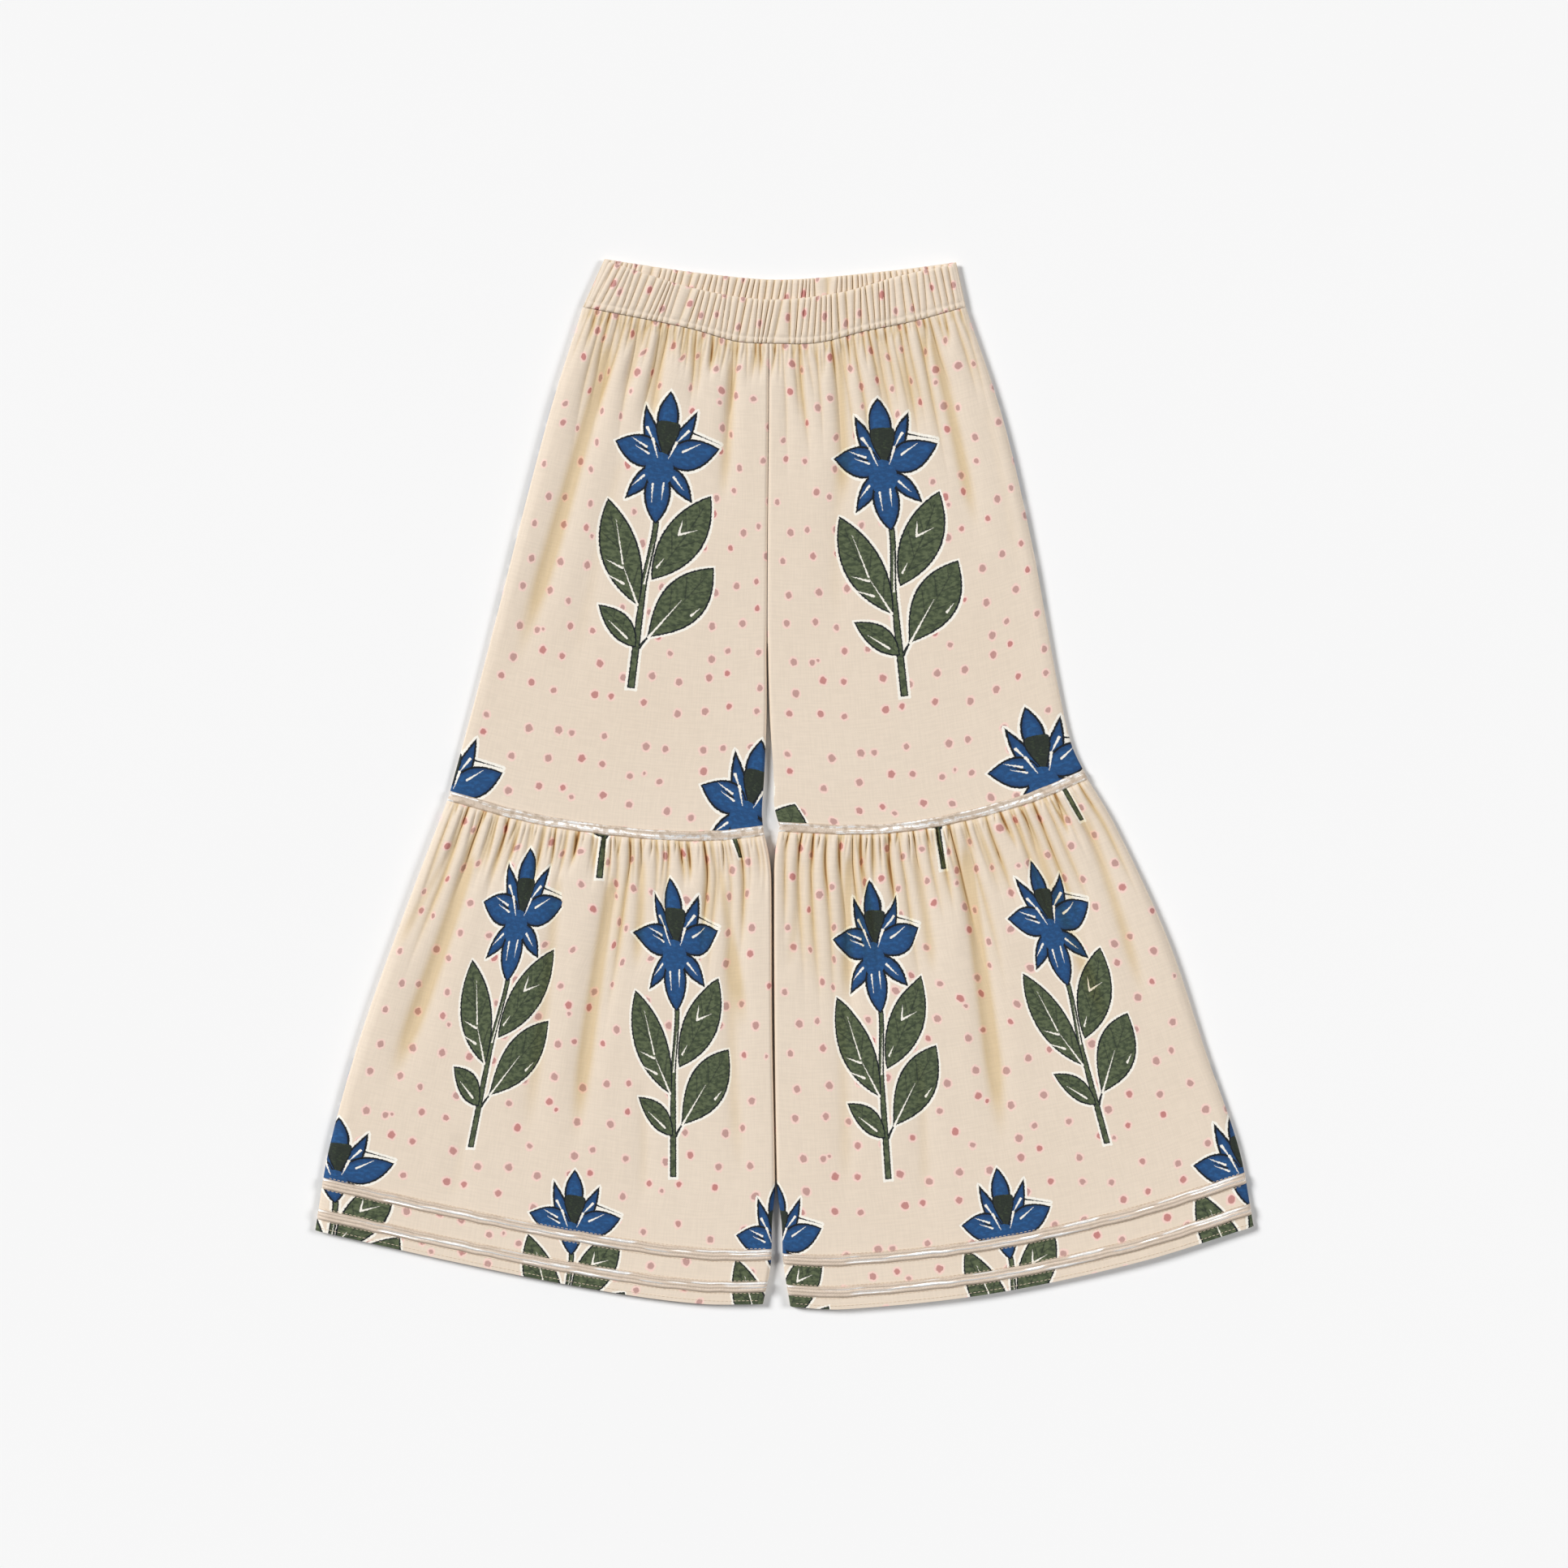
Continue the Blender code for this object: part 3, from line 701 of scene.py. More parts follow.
def sprig_places(flat, sprigs, shift):
    """Each face's corners from the hub of its nearest sprig, in the sprig's own millimetres.
    flat is a face's corners in the flat shape, and shift is cloth that a tuck hides above it."""
    best_away = np.full(len(flat), np.inf)
    best = np.zeros_like(flat)
    best[..., 1] = 3 * SPRIG_TOP
    for sprig in sprigs:
        lean, row = math.radians(sprig["lean"]), math.radians(sprig["row"])
        across = np.array((math.cos(row), -math.sin(row))) * sprig["wide"]
        up = np.array((math.sin(lean), math.cos(lean))) * sprig["tall"]
        inverse = np.linalg.inv(np.column_stack((across, up)))
        local = (flat - np.array((sprig["x"], sprig["y"]))) @ inverse.T
        local[..., 1] -= shift[:, None]
        nod = math.tan(math.radians(sprig["nod"]))
        local[..., 0] -= nod * np.maximum(local[..., 1], 0)
        middle = local.mean(axis=1)
        beyond = middle[:, 1] - np.clip(middle[:, 1], SPRIG_FOOT, SPRIG_TOP)
        away = np.hypot(middle[:, 0], beyond)
        closer = away < best_away
        best_away[closer] = away[closer]
        best[closer] = local[closer]
    return best


def print_panel(obj, panel, flat, cloth, shift_across, painted_fold_shade):
    """The places of the dots and sprigs, and how far each point lies in a fold, which sets the painted
    shade there.
    """
    corners = loop_points(obj)
    down = -cloth[corners][..., 1].mean(axis=1)
    below_tuck = panel.below_seam & (down > panel.long - HEM_BRAIDS_ABOVE_HEM["upper"])
    hidden = np.where(below_tuck, HIDDEN_IN_TUCK, 0.0)
    seen = flat + np.column_stack((shift_across, np.zeros(len(flat))))
    set_uv(obj, "motif", sprig_places(seen[corners], panel.sprigs, hidden))
    places = cloth[corners].copy()
    places[..., 1] -= hidden[:, None]
    set_uv(obj, "cloth", places * MM)
    set_point_value(obj, "fold", painted_fold_shade)


def make_panel(part, side, face, material):
    """A panel of cloth, on its solid's form. The back one lies under the front one."""
    panel = Panel(part, side, face)
    obj, col, row = new_grid(f"{panel.name}_cloth", *PANEL_GRIDS[face])
    across, down = np.linspace(0, 1, col.max() + 1), np.linspace(0, 1, row.max() + 1)
    s, t = np.meshgrid(across, down ** ROWS_TO_TOP[face])
    points, painted_fold_shade, creases = panel.surface(s, t) if face == "front" else panel.underside(s, t)
    cloth, shift = panel.cloth_places(s, t, creases)
    places = points[row, col]
    set_places(obj, places)
    print_panel(obj, panel, places[:, :2], cloth[row, col], shift[row, col], painted_fold_shade[row, col])
    make_shell(obj, CLOTH_THICK, outwards=face == "back")
    finish_piece(obj, material, [panel.name])
    return obj


def smooth_noise(values, kind, pitch):
    """Smooth uneven numbers along a line, from 0 to 1."""
    place = np.asarray(values) / pitch
    whole = np.floor(place).astype(int)
    part = place - whole
    part = part * part * (3 - 2 * part)
    low = np.array([uneven(i % 977, kind) for i in whole.ravel()]).reshape(whole.shape)
    high = np.array([uneven((i + 1) % 977, kind) for i in whole.ravel()]).reshape(whole.shape)
    return low * (1 - part) + high * part


def make_waistband(name, top, bottom, rest, kind, material):
    """A ruched casing with flat elastic in it, all round its section."""
    around = len(BAND_SECTION)
    obj, col, row = new_grid(f"{name}_cloth", BAND_COLUMNS, around)
    columns, rows = col.max(), row.max()
    s = np.linspace(0, 1, columns + 1)
    top, bottom = Path(top), Path(bottom)
    section = np.array([BAND_SECTION[k % around] for k in range(rows + 1)])
    pleat = s * RUCHES + RUCHES_UNEVEN * (smooth_noise(s * RUCHES, kind, 3.1) - 0.5)
    leans = RUCHE_LEAN * (smooth_noise(s * RUCHES, kind + 1, 1.7) - 0.5)
    points = np.zeros((rows + 1, columns + 1, 3))
    valleys = np.zeros((rows + 1, columns + 1))
    from_end = np.minimum(s, 1 - s) * np.linalg.norm(top(1.0) - top(0.0))
    ends = np.sqrt(1 - (1 - clamp(from_end / BAND_END_ROUND)) ** 2)
    level = rest + BAND_THICK / 2
    level = BAND_MEETS + (level - BAND_MEETS) * ease(0, BAND_END_LEVEL, from_end)
    upper, lower = top(s), bottom(s)
    for k, (down, high) in enumerate(section):
        phase = pleat + leans * (down - 0.5)
        wave = 1 - np.abs(np.sin(np.pi * phase)) ** 0.75
        size = 0.55 + 0.45 * smooth_noise(phase + 0.5, kind + 2, 1.0)
        stitched = 1 - 0.45 * bump_at(down - BAND_STITCH_AT, 0.03)
        valley = valleys[k] = wave * size * stitched
        scallop = SCALLOP * (0.5 - valley) * (1 if down > 0.5 else -1)
        face = 2 * high - 1
        deep = RUCHE_DEEP["outside"] if face > 0 else RUCHE_DEEP["inside"]
        rise = RUCHE_RISE if face > 0 else 0.0
        points[k, :, :2] = upper + (lower - upper) * (down + scallop)[:, None]
        points[k, :, 2] = level + ends * face * (BAND_THICK / 2 + rise - deep * valley)
    set_places(obj, points[row, col])
    steps = np.abs(np.diff(section, axis=0)) @ np.array((BAND_WIDE, BAND_EDGE))
    down_cloth = np.cumsum(np.r_[0, steps])
    rate = 1 + CLOTH_IN_RUCHES * valleys
    steps = (rate[:, 1:] + rate[:, :-1]) / 2
    across = np.hstack((np.zeros((rows + 1, 1)), np.cumsum(steps, axis=1)))
    across = across / across[:, -1:] * BAND_CUT["flat"][0] / MM
    cloth = np.dstack((across, -np.repeat(down_cloth[:, None], columns + 1, axis=1)))
    corners = loop_points(obj)
    set_uv(obj, "cloth", cloth[row, col][corners] * MM)
    set_uv(obj, "motif", np.full((len(corners), 4, 2), 3 * SPRIG_TOP))
    # Painted shade: the ruches' valleys darken and warm the colour through the fold attribute.
    set_point_value(obj, "fold", clamp(valleys[row, col] * 0.9))
    apply_modifier(obj, "WELD", merge_threshold=0.00002)
    make_shell(obj, BAND_CLOTH_THICK)
    finish_piece(obj, material, [name])
    return obj


def braid_profile(t, ribs, deep):
    """The height across a braid: a flat ribbon with soft ribs and rounded edges."""
    rounded = np.sqrt(np.maximum(0, 1 - np.abs(2 * t - 1) ** 6))
    return rounded * (1 - deep) + deep * np.abs(np.sin(np.pi * ribs * t)) * rounded


def make_braid(name, lay, long, wide, ribs, material):
    """A braid laid on the cloth. lay gives the place under it for each share along and across."""
    obj, col, row = new_grid(f"{name}_weave", *BRAID_GRID)
    columns, rows = col.max(), row.max()
    s, t = np.meshgrid(np.linspace(0, 1, columns + 1), np.linspace(0, 1, rows + 1))
    points = lay(s, t)
    points[..., 2] += SEAM_GAP + BRAID_THICK * braid_profile(t, ribs, RIB_DEEP)
    points[..., 1] += 0.5 * (smooth_noise(s * long, 41, 9.0) - 0.5)
    set_places(obj, points[row, col])
    corners = loop_points(obj)
    cloth = np.dstack((s * long, t * wide))
    set_uv(obj, "cloth", cloth[row, col][corners] * MM)
    make_shell(obj, BRAID_SHELL)
    return finish_piece(obj, material, [name])


def seam_braid_lay(leg, flounce):
    """Half on the upper leg and half on the flounce."""
    half = SEAM_BRAID_WIDE / 2

    def lay(s, t):
        on_leg = 1 - half / leg.long * np.maximum(0, 1 - 2 * t)
        on_flounce = half / flounce.long * np.maximum(0, 2 * t - 1)
        above = leg.surface(s, on_leg)[0]
        below = flounce.surface(s, on_flounce)[0]
        share = ease(0.4, 0.6, t)[..., None]
        return above * (1 - share) + below * share

    return lay


def hem_braid_lay(flounce, above_hem):
    def lay(s, t):
        down = flounce.long - above_hem + HEM_BRAID_WIDE * (t - 0.5)
        return flounce.surface(s, down / flounce.long)[0]

    return lay


def stitch_line(surface, start, end, long):
    """Each stitch's middle and direction along a line of shares on a surface."""
    count = int(long / (STITCH + STITCH_GAP))
    share = (np.arange(count) + 0.5) / count
    s = start[0] + (end[0] - start[0]) * share
    t = start[1] + (end[1] - start[1]) * share
    step = 0.3 / count
    ahead = surface(s + (end[0] - start[0]) * step, t + (end[1] - start[1]) * step)
    behind = surface(s - (end[0] - start[0]) * step, t - (end[1] - start[1]) * step)
    middle = (ahead + behind) / 2
    along = ahead - behind
    return middle, along / np.linalg.norm(along, axis=1)[:, None]


def make_stitches(name, lines, material):
    """One mesh of all the stitches in the lines, each a copy of one short rounded thread."""
    bpy.ops.object.select_all(action="DESELECT")
    bpy.ops.mesh.primitive_uv_sphere_add(segments=6, ring_count=4, radius=1)
    obj = bpy.context.object
    obj.name = obj.data.name = name
    one = np.array([v.co[:] for v in obj.data.vertices])
    faces = [list(p.vertices) for p in obj.data.polygons]
    middles = np.vstack([middle for middle, _ in lines])
    alongs = np.vstack([along for _, along in lines])
    sides = np.cross(alongs, (0.0, 0.0, 1.0))
    sides /= np.linalg.norm(sides, axis=1)[:, None]
    ups = np.cross(sides, alongs)
    points = (
        middles[:, None]
        + one[None, :, 2:3] * alongs[:, None] * STITCH / 2
        + one[None, :, 0:1] * sides[:, None] * THREAD / 2
        + one[None, :, 1:2] * ups[:, None] * THREAD / 2
    )
    all_faces = [[v + k * len(one) for v in face] for k in range(len(middles)) for face in faces]
    obj.data.clear_geometry()
    obj.data.from_pydata((points.reshape(-1, 3) * MM).tolist(), [], all_faces)
    obj.data.shade_smooth()
    return finish_piece(obj, material)


class Nodes:
    """Adds nodes to a tree, and sets or joins their inputs."""

    def __init__(self, tree):
        self.tree = tree

    def put(self, value, socket):
        if isinstance(value, bpy.types.NodeSocket):
            self.tree.links.new(value, socket)
        elif value is not None:
            socket.default_value = value

    def add(self, kind, *values, **settings):
        node = self.tree.nodes.new(kind)
        for name, value in settings.items():
            setattr(node, name, value)
        for socket, value in zip(node.inputs, values):
            self.put(value, socket)
        return node

    def math(self, operation, *values, clamped=False):
        return self.add("ShaderNodeMath", *values, operation=operation, use_clamp=clamped).outputs[0]

    def vector(self, operation, *values):
        node = self.add("ShaderNodeVectorMath", *values, operation=operation)
        single = operation in ("DOT_PRODUCT", "LENGTH", "DISTANCE")
        return node.outputs["Value" if single else "Vector"]

    def value(self, number):
        node = self.add("ShaderNodeValue")
        node.outputs[0].default_value = number
        return node.outputs[0]

    def scaled(self, vector, scale):
        node = self.add("ShaderNodeVectorMath", vector, operation="SCALE")
        self.put(scale, node.inputs["Scale"])
        return node.outputs["Vector"]

    def smooth(self, value, low, high, from_value=0.0, to_value=1.0):
        node = self.add(
            "ShaderNodeMapRange", value, low, high, from_value, to_value, interpolation_type="SMOOTHSTEP"
        )
        return node.outputs["Result"]

    def mix(self, share, below, above, mode="MIX"):
        node = self.add("ShaderNodeMix", data_type="RGBA", blend_type=mode)
        self.put(share, node.inputs[0])
        self.put(below, node.inputs[6])
        self.put(above, node.inputs[7])
        return node.outputs[2]

    def noise(self, vector, scale, detail, **settings):
        node = self.add("ShaderNodeTexNoise", vector, **settings)
        node.inputs["Scale"].default_value = scale
        node.inputs["Detail"].default_value = detail
        return node.outputs

    def bump(self, height, strength, distance):
        node = self.add("ShaderNodeBump")
        node.inputs["Strength"].default_value = strength
        node.inputs["Distance"].default_value = distance
        self.put(height, node.inputs["Height"])
        return node.outputs["Normal"]

    def group(self, tree, **values):
        node = self.add("ShaderNodeGroup", node_tree=tree)
        for name, value in values.items():
            self.put(value, node.inputs[name.replace("_", " ")])
        return node.outputs


def opaque(colour):
    return (*colour, 1)


def new_group(name, inputs, outputs):
    """A node group with named inputs and outputs, and the means to add nodes to it."""
    tree = bpy.data.node_groups.new(name, "ShaderNodeTree")
    for socket, kind in inputs.items():
        tree.interface.new_socket(socket, in_out="INPUT", socket_type=f"NodeSocket{kind}")
    for socket, kind in outputs.items():
        tree.interface.new_socket(socket, in_out="OUTPUT", socket_type=f"NodeSocket{kind}")
    nodes = Nodes(tree)
    return tree, nodes, nodes.add("NodeGroupInput").outputs, nodes.add("NodeGroupOutput").inputs


def petal_group():
    """How deep a point is inside a petal or leaf, and its place along and across it."""
    tree, n, given, out = new_group(
        "Petal",
        {"Point": "Vector", "Base": "Vector", "Tip": "Vector", "Half Width": "Float",
         "Base End": "Float", "Tip End": "Float", "Curve": "Float"},
        {"Inside": "Float", "Along": "Float", "Across": "Float"},
    )
    axis = n.vector("SUBTRACT", given["Tip"], given["Base"])
    away = n.vector("SUBTRACT", given["Point"], given["Base"])
    long = n.vector("LENGTH", axis)
    unit = n.vector("NORMALIZE", axis)
    along = n.math("DIVIDE", n.vector("DOT_PRODUCT", away, unit), long)
    within = n.math("MINIMUM", n.math("MAXIMUM", along, 0.0), 1.0)
    rest = n.math("SUBTRACT", 1.0, within)
    side = n.vector("DOT_PRODUCT", n.vector("CROSS_PRODUCT", unit, away), (0, 0, 1))
    middle = n.math("MULTIPLY", n.math("MULTIPLY", within, rest), n.math("MULTIPLY", given["Curve"], 4.0))
    across = n.math("SUBTRACT", side, middle)
    towards_base = n.math("POWER", within, given["Base End"])
    towards_tip = n.math("POWER", rest, given["Tip End"])
    lens = n.math("MULTIPLY", towards_base, towards_tip)
    profile = n.math("MULTIPLY", lens, given["Half Width"])
    beyond = n.math("MULTIPLY", n.math("ABSOLUTE", n.math("SUBTRACT", along, within)), long)
    depth = n.math("SUBTRACT", n.math("SUBTRACT", profile, n.math("ABSOLUTE", across)), beyond)
    n.put(depth, out["Inside"])
    n.put(along, out["Along"])
    n.put(across, out["Across"])
    return tree


def lens_scale(base_end, tip_end):
    """What brings a petal's widest place to its half width."""
    widest = base_end / (base_end + tip_end)
    return 1 / (widest ** base_end * (1 - widest) ** tip_end)


def stroke_group():
    """How deep a point is inside a short stroke with round ends."""
    tree, n, given, out = new_group(
        "Stroke",
        {"Point": "Vector", "From": "Vector", "To": "Vector", "Half Width": "Float"},
        {"Inside": "Float"},
    )
    axis = n.vector("SUBTRACT", given["To"], given["From"])
    away = n.vector("SUBTRACT", given["Point"], given["From"])
    square = n.vector("DOT_PRODUCT", axis, axis)
    along = n.math("DIVIDE", n.vector("DOT_PRODUCT", away, axis), square, clamped=True)
    nearest = n.scaled(axis, along)
    distance = n.vector("DISTANCE", away, nearest)
    taper = n.math("MULTIPLY", n.math("SUBTRACT", 1.2, along), given["Half Width"])
    n.put(n.math("SUBTRACT", taper, distance), out["Inside"])
    return tree


def ink_group():
    """Lays one shape of ink over what is under it: its fill, with a darker line at its edge."""
    tree, n, given, out = new_group(
        "Ink",
        {"Inside": "Float", "Under": "Color", "Fill": "Color", "Line": "Color", "Line Width": "Float"},
        {"Color": "Color"},
    )
    cover = n.smooth(given["Inside"], -INK_EDGE, INK_EDGE)
    edge = n.smooth(given["Inside"], n.math("ADD", given["Line Width"], INK_EDGE), given["Line Width"])
    fill = n.mix(edge, given["Fill"], given["Line"])
    n.put(n.mix(cover, given["Under"], fill), out["Color"])
    return tree


def veins_group():
    """A leaf's midrib and side veins, from a place along and across it."""
    tree, n, given, out = new_group(
        "Leaf Veins",
        {"Inside": "Float", "Along": "Float", "Across": "Float", "Veins": "Float"},
        {"Mask": "Float"},
    )
    off = n.math("ABSOLUTE", given["Across"])
    midrib = n.smooth(off, 0.6, 0.25)
    shifted = n.math("ADD", given["Along"], n.math("MULTIPLY", n.math("SIGN", given["Across"]), 0.04))
    phase = n.math("SUBTRACT", n.math("MULTIPLY", shifted, given["Veins"]), n.math("MULTIPLY", off, 0.09))
    spread = n.math("ABSOLUTE", n.math("SUBTRACT", n.math("FRACT", phase), 0.5))
    side = n.math("MULTIPLY", n.smooth(spread, 0.06, 0.025), n.smooth(given["Inside"], 1.5, 3.0))
    both = n.math("MULTIPLY", n.math("MAXIMUM", midrib, side), n.smooth(given["Along"], 0.07, 0.13))
    n.put(n.math("MULTIPLY", both, n.smooth(given["Along"], 0.92, 0.85)), out["Mask"])
    return tree


def sprig_group(look):
    """The printed sprig: leaves, stem and flower, with a pale line left round them."""
    tree, n, given, out = new_group(
        "Sprig Print", {"Point": "Vector", "Ground": "Color"}, {"Color": "Color"}
    )
    petal, stroke, ink, veins = petal_group(), stroke_group(), ink_group(), veins_group()
    ragged = n.noise(given["Point"], 0.8, 1.0, noise_dimensions="2D")["Color"]
    shake = n.scaled(n.vector("SUBTRACT", ragged, (0.5, 0.5, 0.5)), 0.9)
    point = n.vector("ADD", given["Point"], shake)
    stretched = n.vector("MULTIPLY", given["Point"], (0.5, 0.9, 0))
    fleck = n.noise(stretched, 0.55, 3.0, noise_dimensions="2D")["Fac"]
    blue = n.mix(n.smooth(fleck, 0.42, 0.7, 0.0, 0.5), opaque(look.blue), opaque(look.blue_pale))
    green = n.mix(n.smooth(fleck, 0.36, 0.64), opaque(look.green), opaque(look.green_dark))
    outline, cream = opaque(look.outline), opaque(look.halo)
    deepest = [n.value(-1000.0)]

    def widen(inside):
        deepest[0] = n.math("MAXIMUM", deepest[0], inside)

    def place(row):
        row = dict(zip(SHAPE_COLUMNS, row))
        found = n.group(
            petal, Point=point, Base=(*row["base"], 0), Tip=(*row["tip"], 0),
            Half_Width=row["half"] * lens_scale(row["base_end"], row["tip_end"]),
            Base_End=row["base_end"], Tip_End=row["tip_end"], Curve=row["curve"],
        )
        widen(found["Inside"])
        return found

    def paint(inside, under, fill, line_wide=OUTLINE_WIDE):
        painted = n.group(ink, Inside=inside, Under=under, Fill=fill, Line=outline, Line_Width=line_wide)
        return painted["Color"]

    def paint_petal(row, under):
        """A petal, darker towards its edge."""
        inside = place(row)["Inside"]
        deep = n.mix(n.smooth(inside, 0.8, 4.5, 0.75, 0.0), blue, opaque(look.blue_dark))
        return paint(inside, under, deep)

    def inside_strokes(rows):
        """How deep a point is inside any of the strokes."""
        nearest = None
        for row in rows:
            row = dict(zip(STROKE_COLUMNS, row))
            found = n.group(
                stroke, Point=point, From=(*row["start"], 0), To=(*row["end"], 0), Half_Width=row["half"]
            )["Inside"]
            nearest = found if nearest is None else n.math("MAXIMUM", nearest, found)
        return nearest

    def draw(inside, under, colour):
        return n.mix(n.smooth(inside, -INK_EDGE, INK_EDGE), under, colour)

    separate = n.add("ShaderNodeSeparateXYZ", point)
    x, y = separate.outputs["X"], separate.outputs["Y"]
    bend = n.smooth(y, STEM["top"], STEM["bend_ends"], STEM["x_top"], STEM["x_below"])
    swell = n.smooth(y, STEM["top"], STEM["foot"], STEM["half"], STEM["half"] + 0.5)
    half_stem = n.math("SUBTRACT", swell, n.math("ABSOLUTE", n.math("SUBTRACT", x, bend)))
    ends = n.math("MINIMUM", n.math("SUBTRACT", y, STEM["foot"]), n.math("SUBTRACT", STEM["top"] + 3, y))
    stem = n.math("MINIMUM", half_stem, ends)
    widen(stem)

    stalk = inside_strokes((LEAF_STALK,))
    widen(stalk)
    colour = paint(n.math("MAXIMUM", stem, stalk), cream, green, THIN_OUTLINE)
    for row in LEAVES:
        leaf = place(row)
        colour = paint(leaf["Inside"], colour, green, LEAF_OUTLINE)
        lines = n.group(
            veins, Inside=leaf["Inside"], Along=leaf["Along"], Across=leaf["Across"],
            Veins=VEINS_ALONG_LEAF,
        )
        shown = n.math("MULTIPLY", lines["Mask"], n.smooth(leaf["Inside"], 0.6, 1.0, 0.0, 0.45))
        colour = n.mix(shown, colour, outline)
    colour = draw(inside_strokes((*VEINS, STEM_SHINE)), colour, cream)
    lines = inside_strokes(DARK_STROKES)
    widen(lines)
    colour = draw(lines, colour, outline)
    for row in (*LOWER_PETALS, *UPPER_PETALS):
        colour = paint_petal(row, colour)
    dark_green = n.mix(n.smooth(fleck, 0.5, 0.75, 0.8, 0.2), green, outline)
    colour = paint(place(WEDGE)["Inside"], colour, dark_green, THIN_OUTLINE)
    for row in SIDE_PETALS:
        colour = paint_petal(row, colour)
    colour = draw(place(HUB)["Inside"], colour, blue)
    colour = draw(inside_strokes(DARK_STROKES[:1]), colour, outline)
    colour = draw(inside_strokes(CREAM_STROKES), colour, cream)

    cover = n.smooth(deepest[0], -HALO - INK_EDGE, -HALO + INK_EDGE)
    n.put(n.mix(cover, given["Ground"], colour), out["Color"])
    return tree


def dots_group(look):
    """Scattered dots, each with a pale ring round it."""
    tree, n, given, out = new_group(
        "Dots", {"Place": "Vector", "Ground": "Color"}, {"Color": "Color"}
    )
    colour = given["Ground"]
    for row in DOT_LAYERS:
        row = dict(zip(DOT_COLUMNS, row))
        pitch = look.dot_pitch * row["pitch"]
        shifted = n.vector("ADD", given["Place"], (row["shift"], row["shift"] * 1.7, 0))
        cells = n.add("ShaderNodeTexVoronoi", voronoi_dimensions="2D")
        n.put(shifted, cells.inputs["Vector"])
        cells.inputs["Scale"].default_value = 1 / pitch
        cells.inputs["Randomness"].default_value = DOTS_UNEVEN
        picked = n.add("ShaderNodeSeparateColor", cells.outputs["Color"])
        away = n.math("MULTIPLY", cells.outputs["Distance"], pitch / MM)
        wobble = n.noise(given["Place"], 420, 1.0, noise_dimensions="2D")["Fac"]
        away = n.math("ADD", away, n.math("MULTIPLY", n.math("SUBTRACT", wobble, 0.5), 1.3))
        radius = n.smooth(picked.outputs["Red"], 0.0, 1.0, row["least"], row["most"])
        inside = n.math("SUBTRACT", radius, away)
        halo = n.smooth(inside, -1.7, -0.6, 0.0, 0.85)
        core = n.smooth(inside, -0.35, 0.35, 0.0, 0.92)
        redder = n.smooth(picked.outputs["Green"], 0.5, 1.0)
        tone = n.mix(redder, opaque(look.dot), opaque(look.dot_red))
        colour = n.mix(halo, colour, opaque(look.dot_halo))
        colour = n.mix(core, colour, tone)
    n.put(colour, out["Color"])
    return tree


def weave_group():
    """A plain weave: crossing threads, and thicker threads here and there."""
    tree, n, given, out = new_group(
        "Plain Weave", {"Place": "Vector", "Thread": "Float"}, {"Height": "Float", "Slub": "Float"}
    )
    separate = n.add("ShaderNodeSeparateXYZ", given["Place"])
    turns = [n.math("MULTIPLY", n.math("DIVIDE", separate.outputs[axis], given["Thread"]), math.pi)
             for axis in ("X", "Y")]
    waves = n.math("MULTIPLY", n.math("SINE", turns[0]), n.math("SINE", turns[1]))
    slubs = []
    for stretch_by in ((900, 70, 0), (70, 900, 0)):
        stretched = n.vector("MULTIPLY", given["Place"], stretch_by)
        slubs.append(n.noise(stretched, 1.0, 2.0, noise_dimensions="2D")["Fac"])
    slub = n.math("MULTIPLY", n.math("ADD", *slubs), 0.5)
    n.put(slub, out["Slub"])
    n.put(n.math("ADD", n.math("MULTIPLY", waves, 0.5), n.math("MULTIPLY", slub, 1.4)), out["Height"])
    return tree


def new_material(name):
    material = bpy.data.materials.new(name)
    material.use_nodes = True
    shader = material.node_tree.nodes["Principled BSDF"]
    return material, Nodes(material.node_tree), shader


def printed_cotton(look):
    """Cream cotton with the block print, and painted shade that darkens and warms its folds, most in the
    deepest creases.
    """
    material, n, shader = new_material("printed cotton")
    cloth = n.add("ShaderNodeUVMap", uv_map="cloth").outputs[0]
    motif = n.add("ShaderNodeUVMap", uv_map="motif").outputs[0]
    fold = n.add("ShaderNodeAttribute", attribute_name="fold").outputs["Fac"]
    place = n.add("ShaderNodeTexCoord").outputs["Object"]
    weave = n.group(weave_group(), Place=cloth, Thread=look.thread)
    broad = n.noise(place, 9.0, 2.0)["Fac"]
    ground = n.mix(broad, opaque(look.cream), opaque(look.cream_warm))
    dotted = n.group(dots_group(look), Place=cloth, Ground=ground)["Color"]
    printed = n.group(sprig_group(look), Point=motif, Ground=dotted)
    shade = n.smooth(weave["Slub"], 0.3, 0.7, 0.955, 1.02)
    grey = n.add("ShaderNodeCombineColor", shade, shade, shade).outputs[0]
    colour = n.mix(1.0, printed["Color"], grey, "MULTIPLY")
    # Painted shade: the fold attribute darkens and warms the colour in the folds, and darkens it more in
    # the deepest creases.
    tan = n.math("MULTIPLY", n.smooth(fold, 0.12, 0.95), look.fold_shade_strength)
    colour = n.mix(tan, colour, opaque(look.tan), "MULTIPLY")
    colour = n.mix(n.smooth(fold, 0.72, 1.0), colour, opaque(look.crease_shade), "MULTIPLY")
    n.put(colour, shader.inputs["Base Color"])
    n.put(n.smooth(weave["Slub"], 0.3, 0.7, 0.92, 0.82), shader.inputs["Roughness"])
    n.put(n.bump(weave["Height"], look.weave_bump, 0.0001), shader.inputs["Normal"])
    shader.inputs["Specular IOR Level"].default_value = 0.25
    shader.inputs["Sheen Weight"].default_value = 0.12
    shader.inputs["Sheen Roughness"].default_value = 0.5
    return material


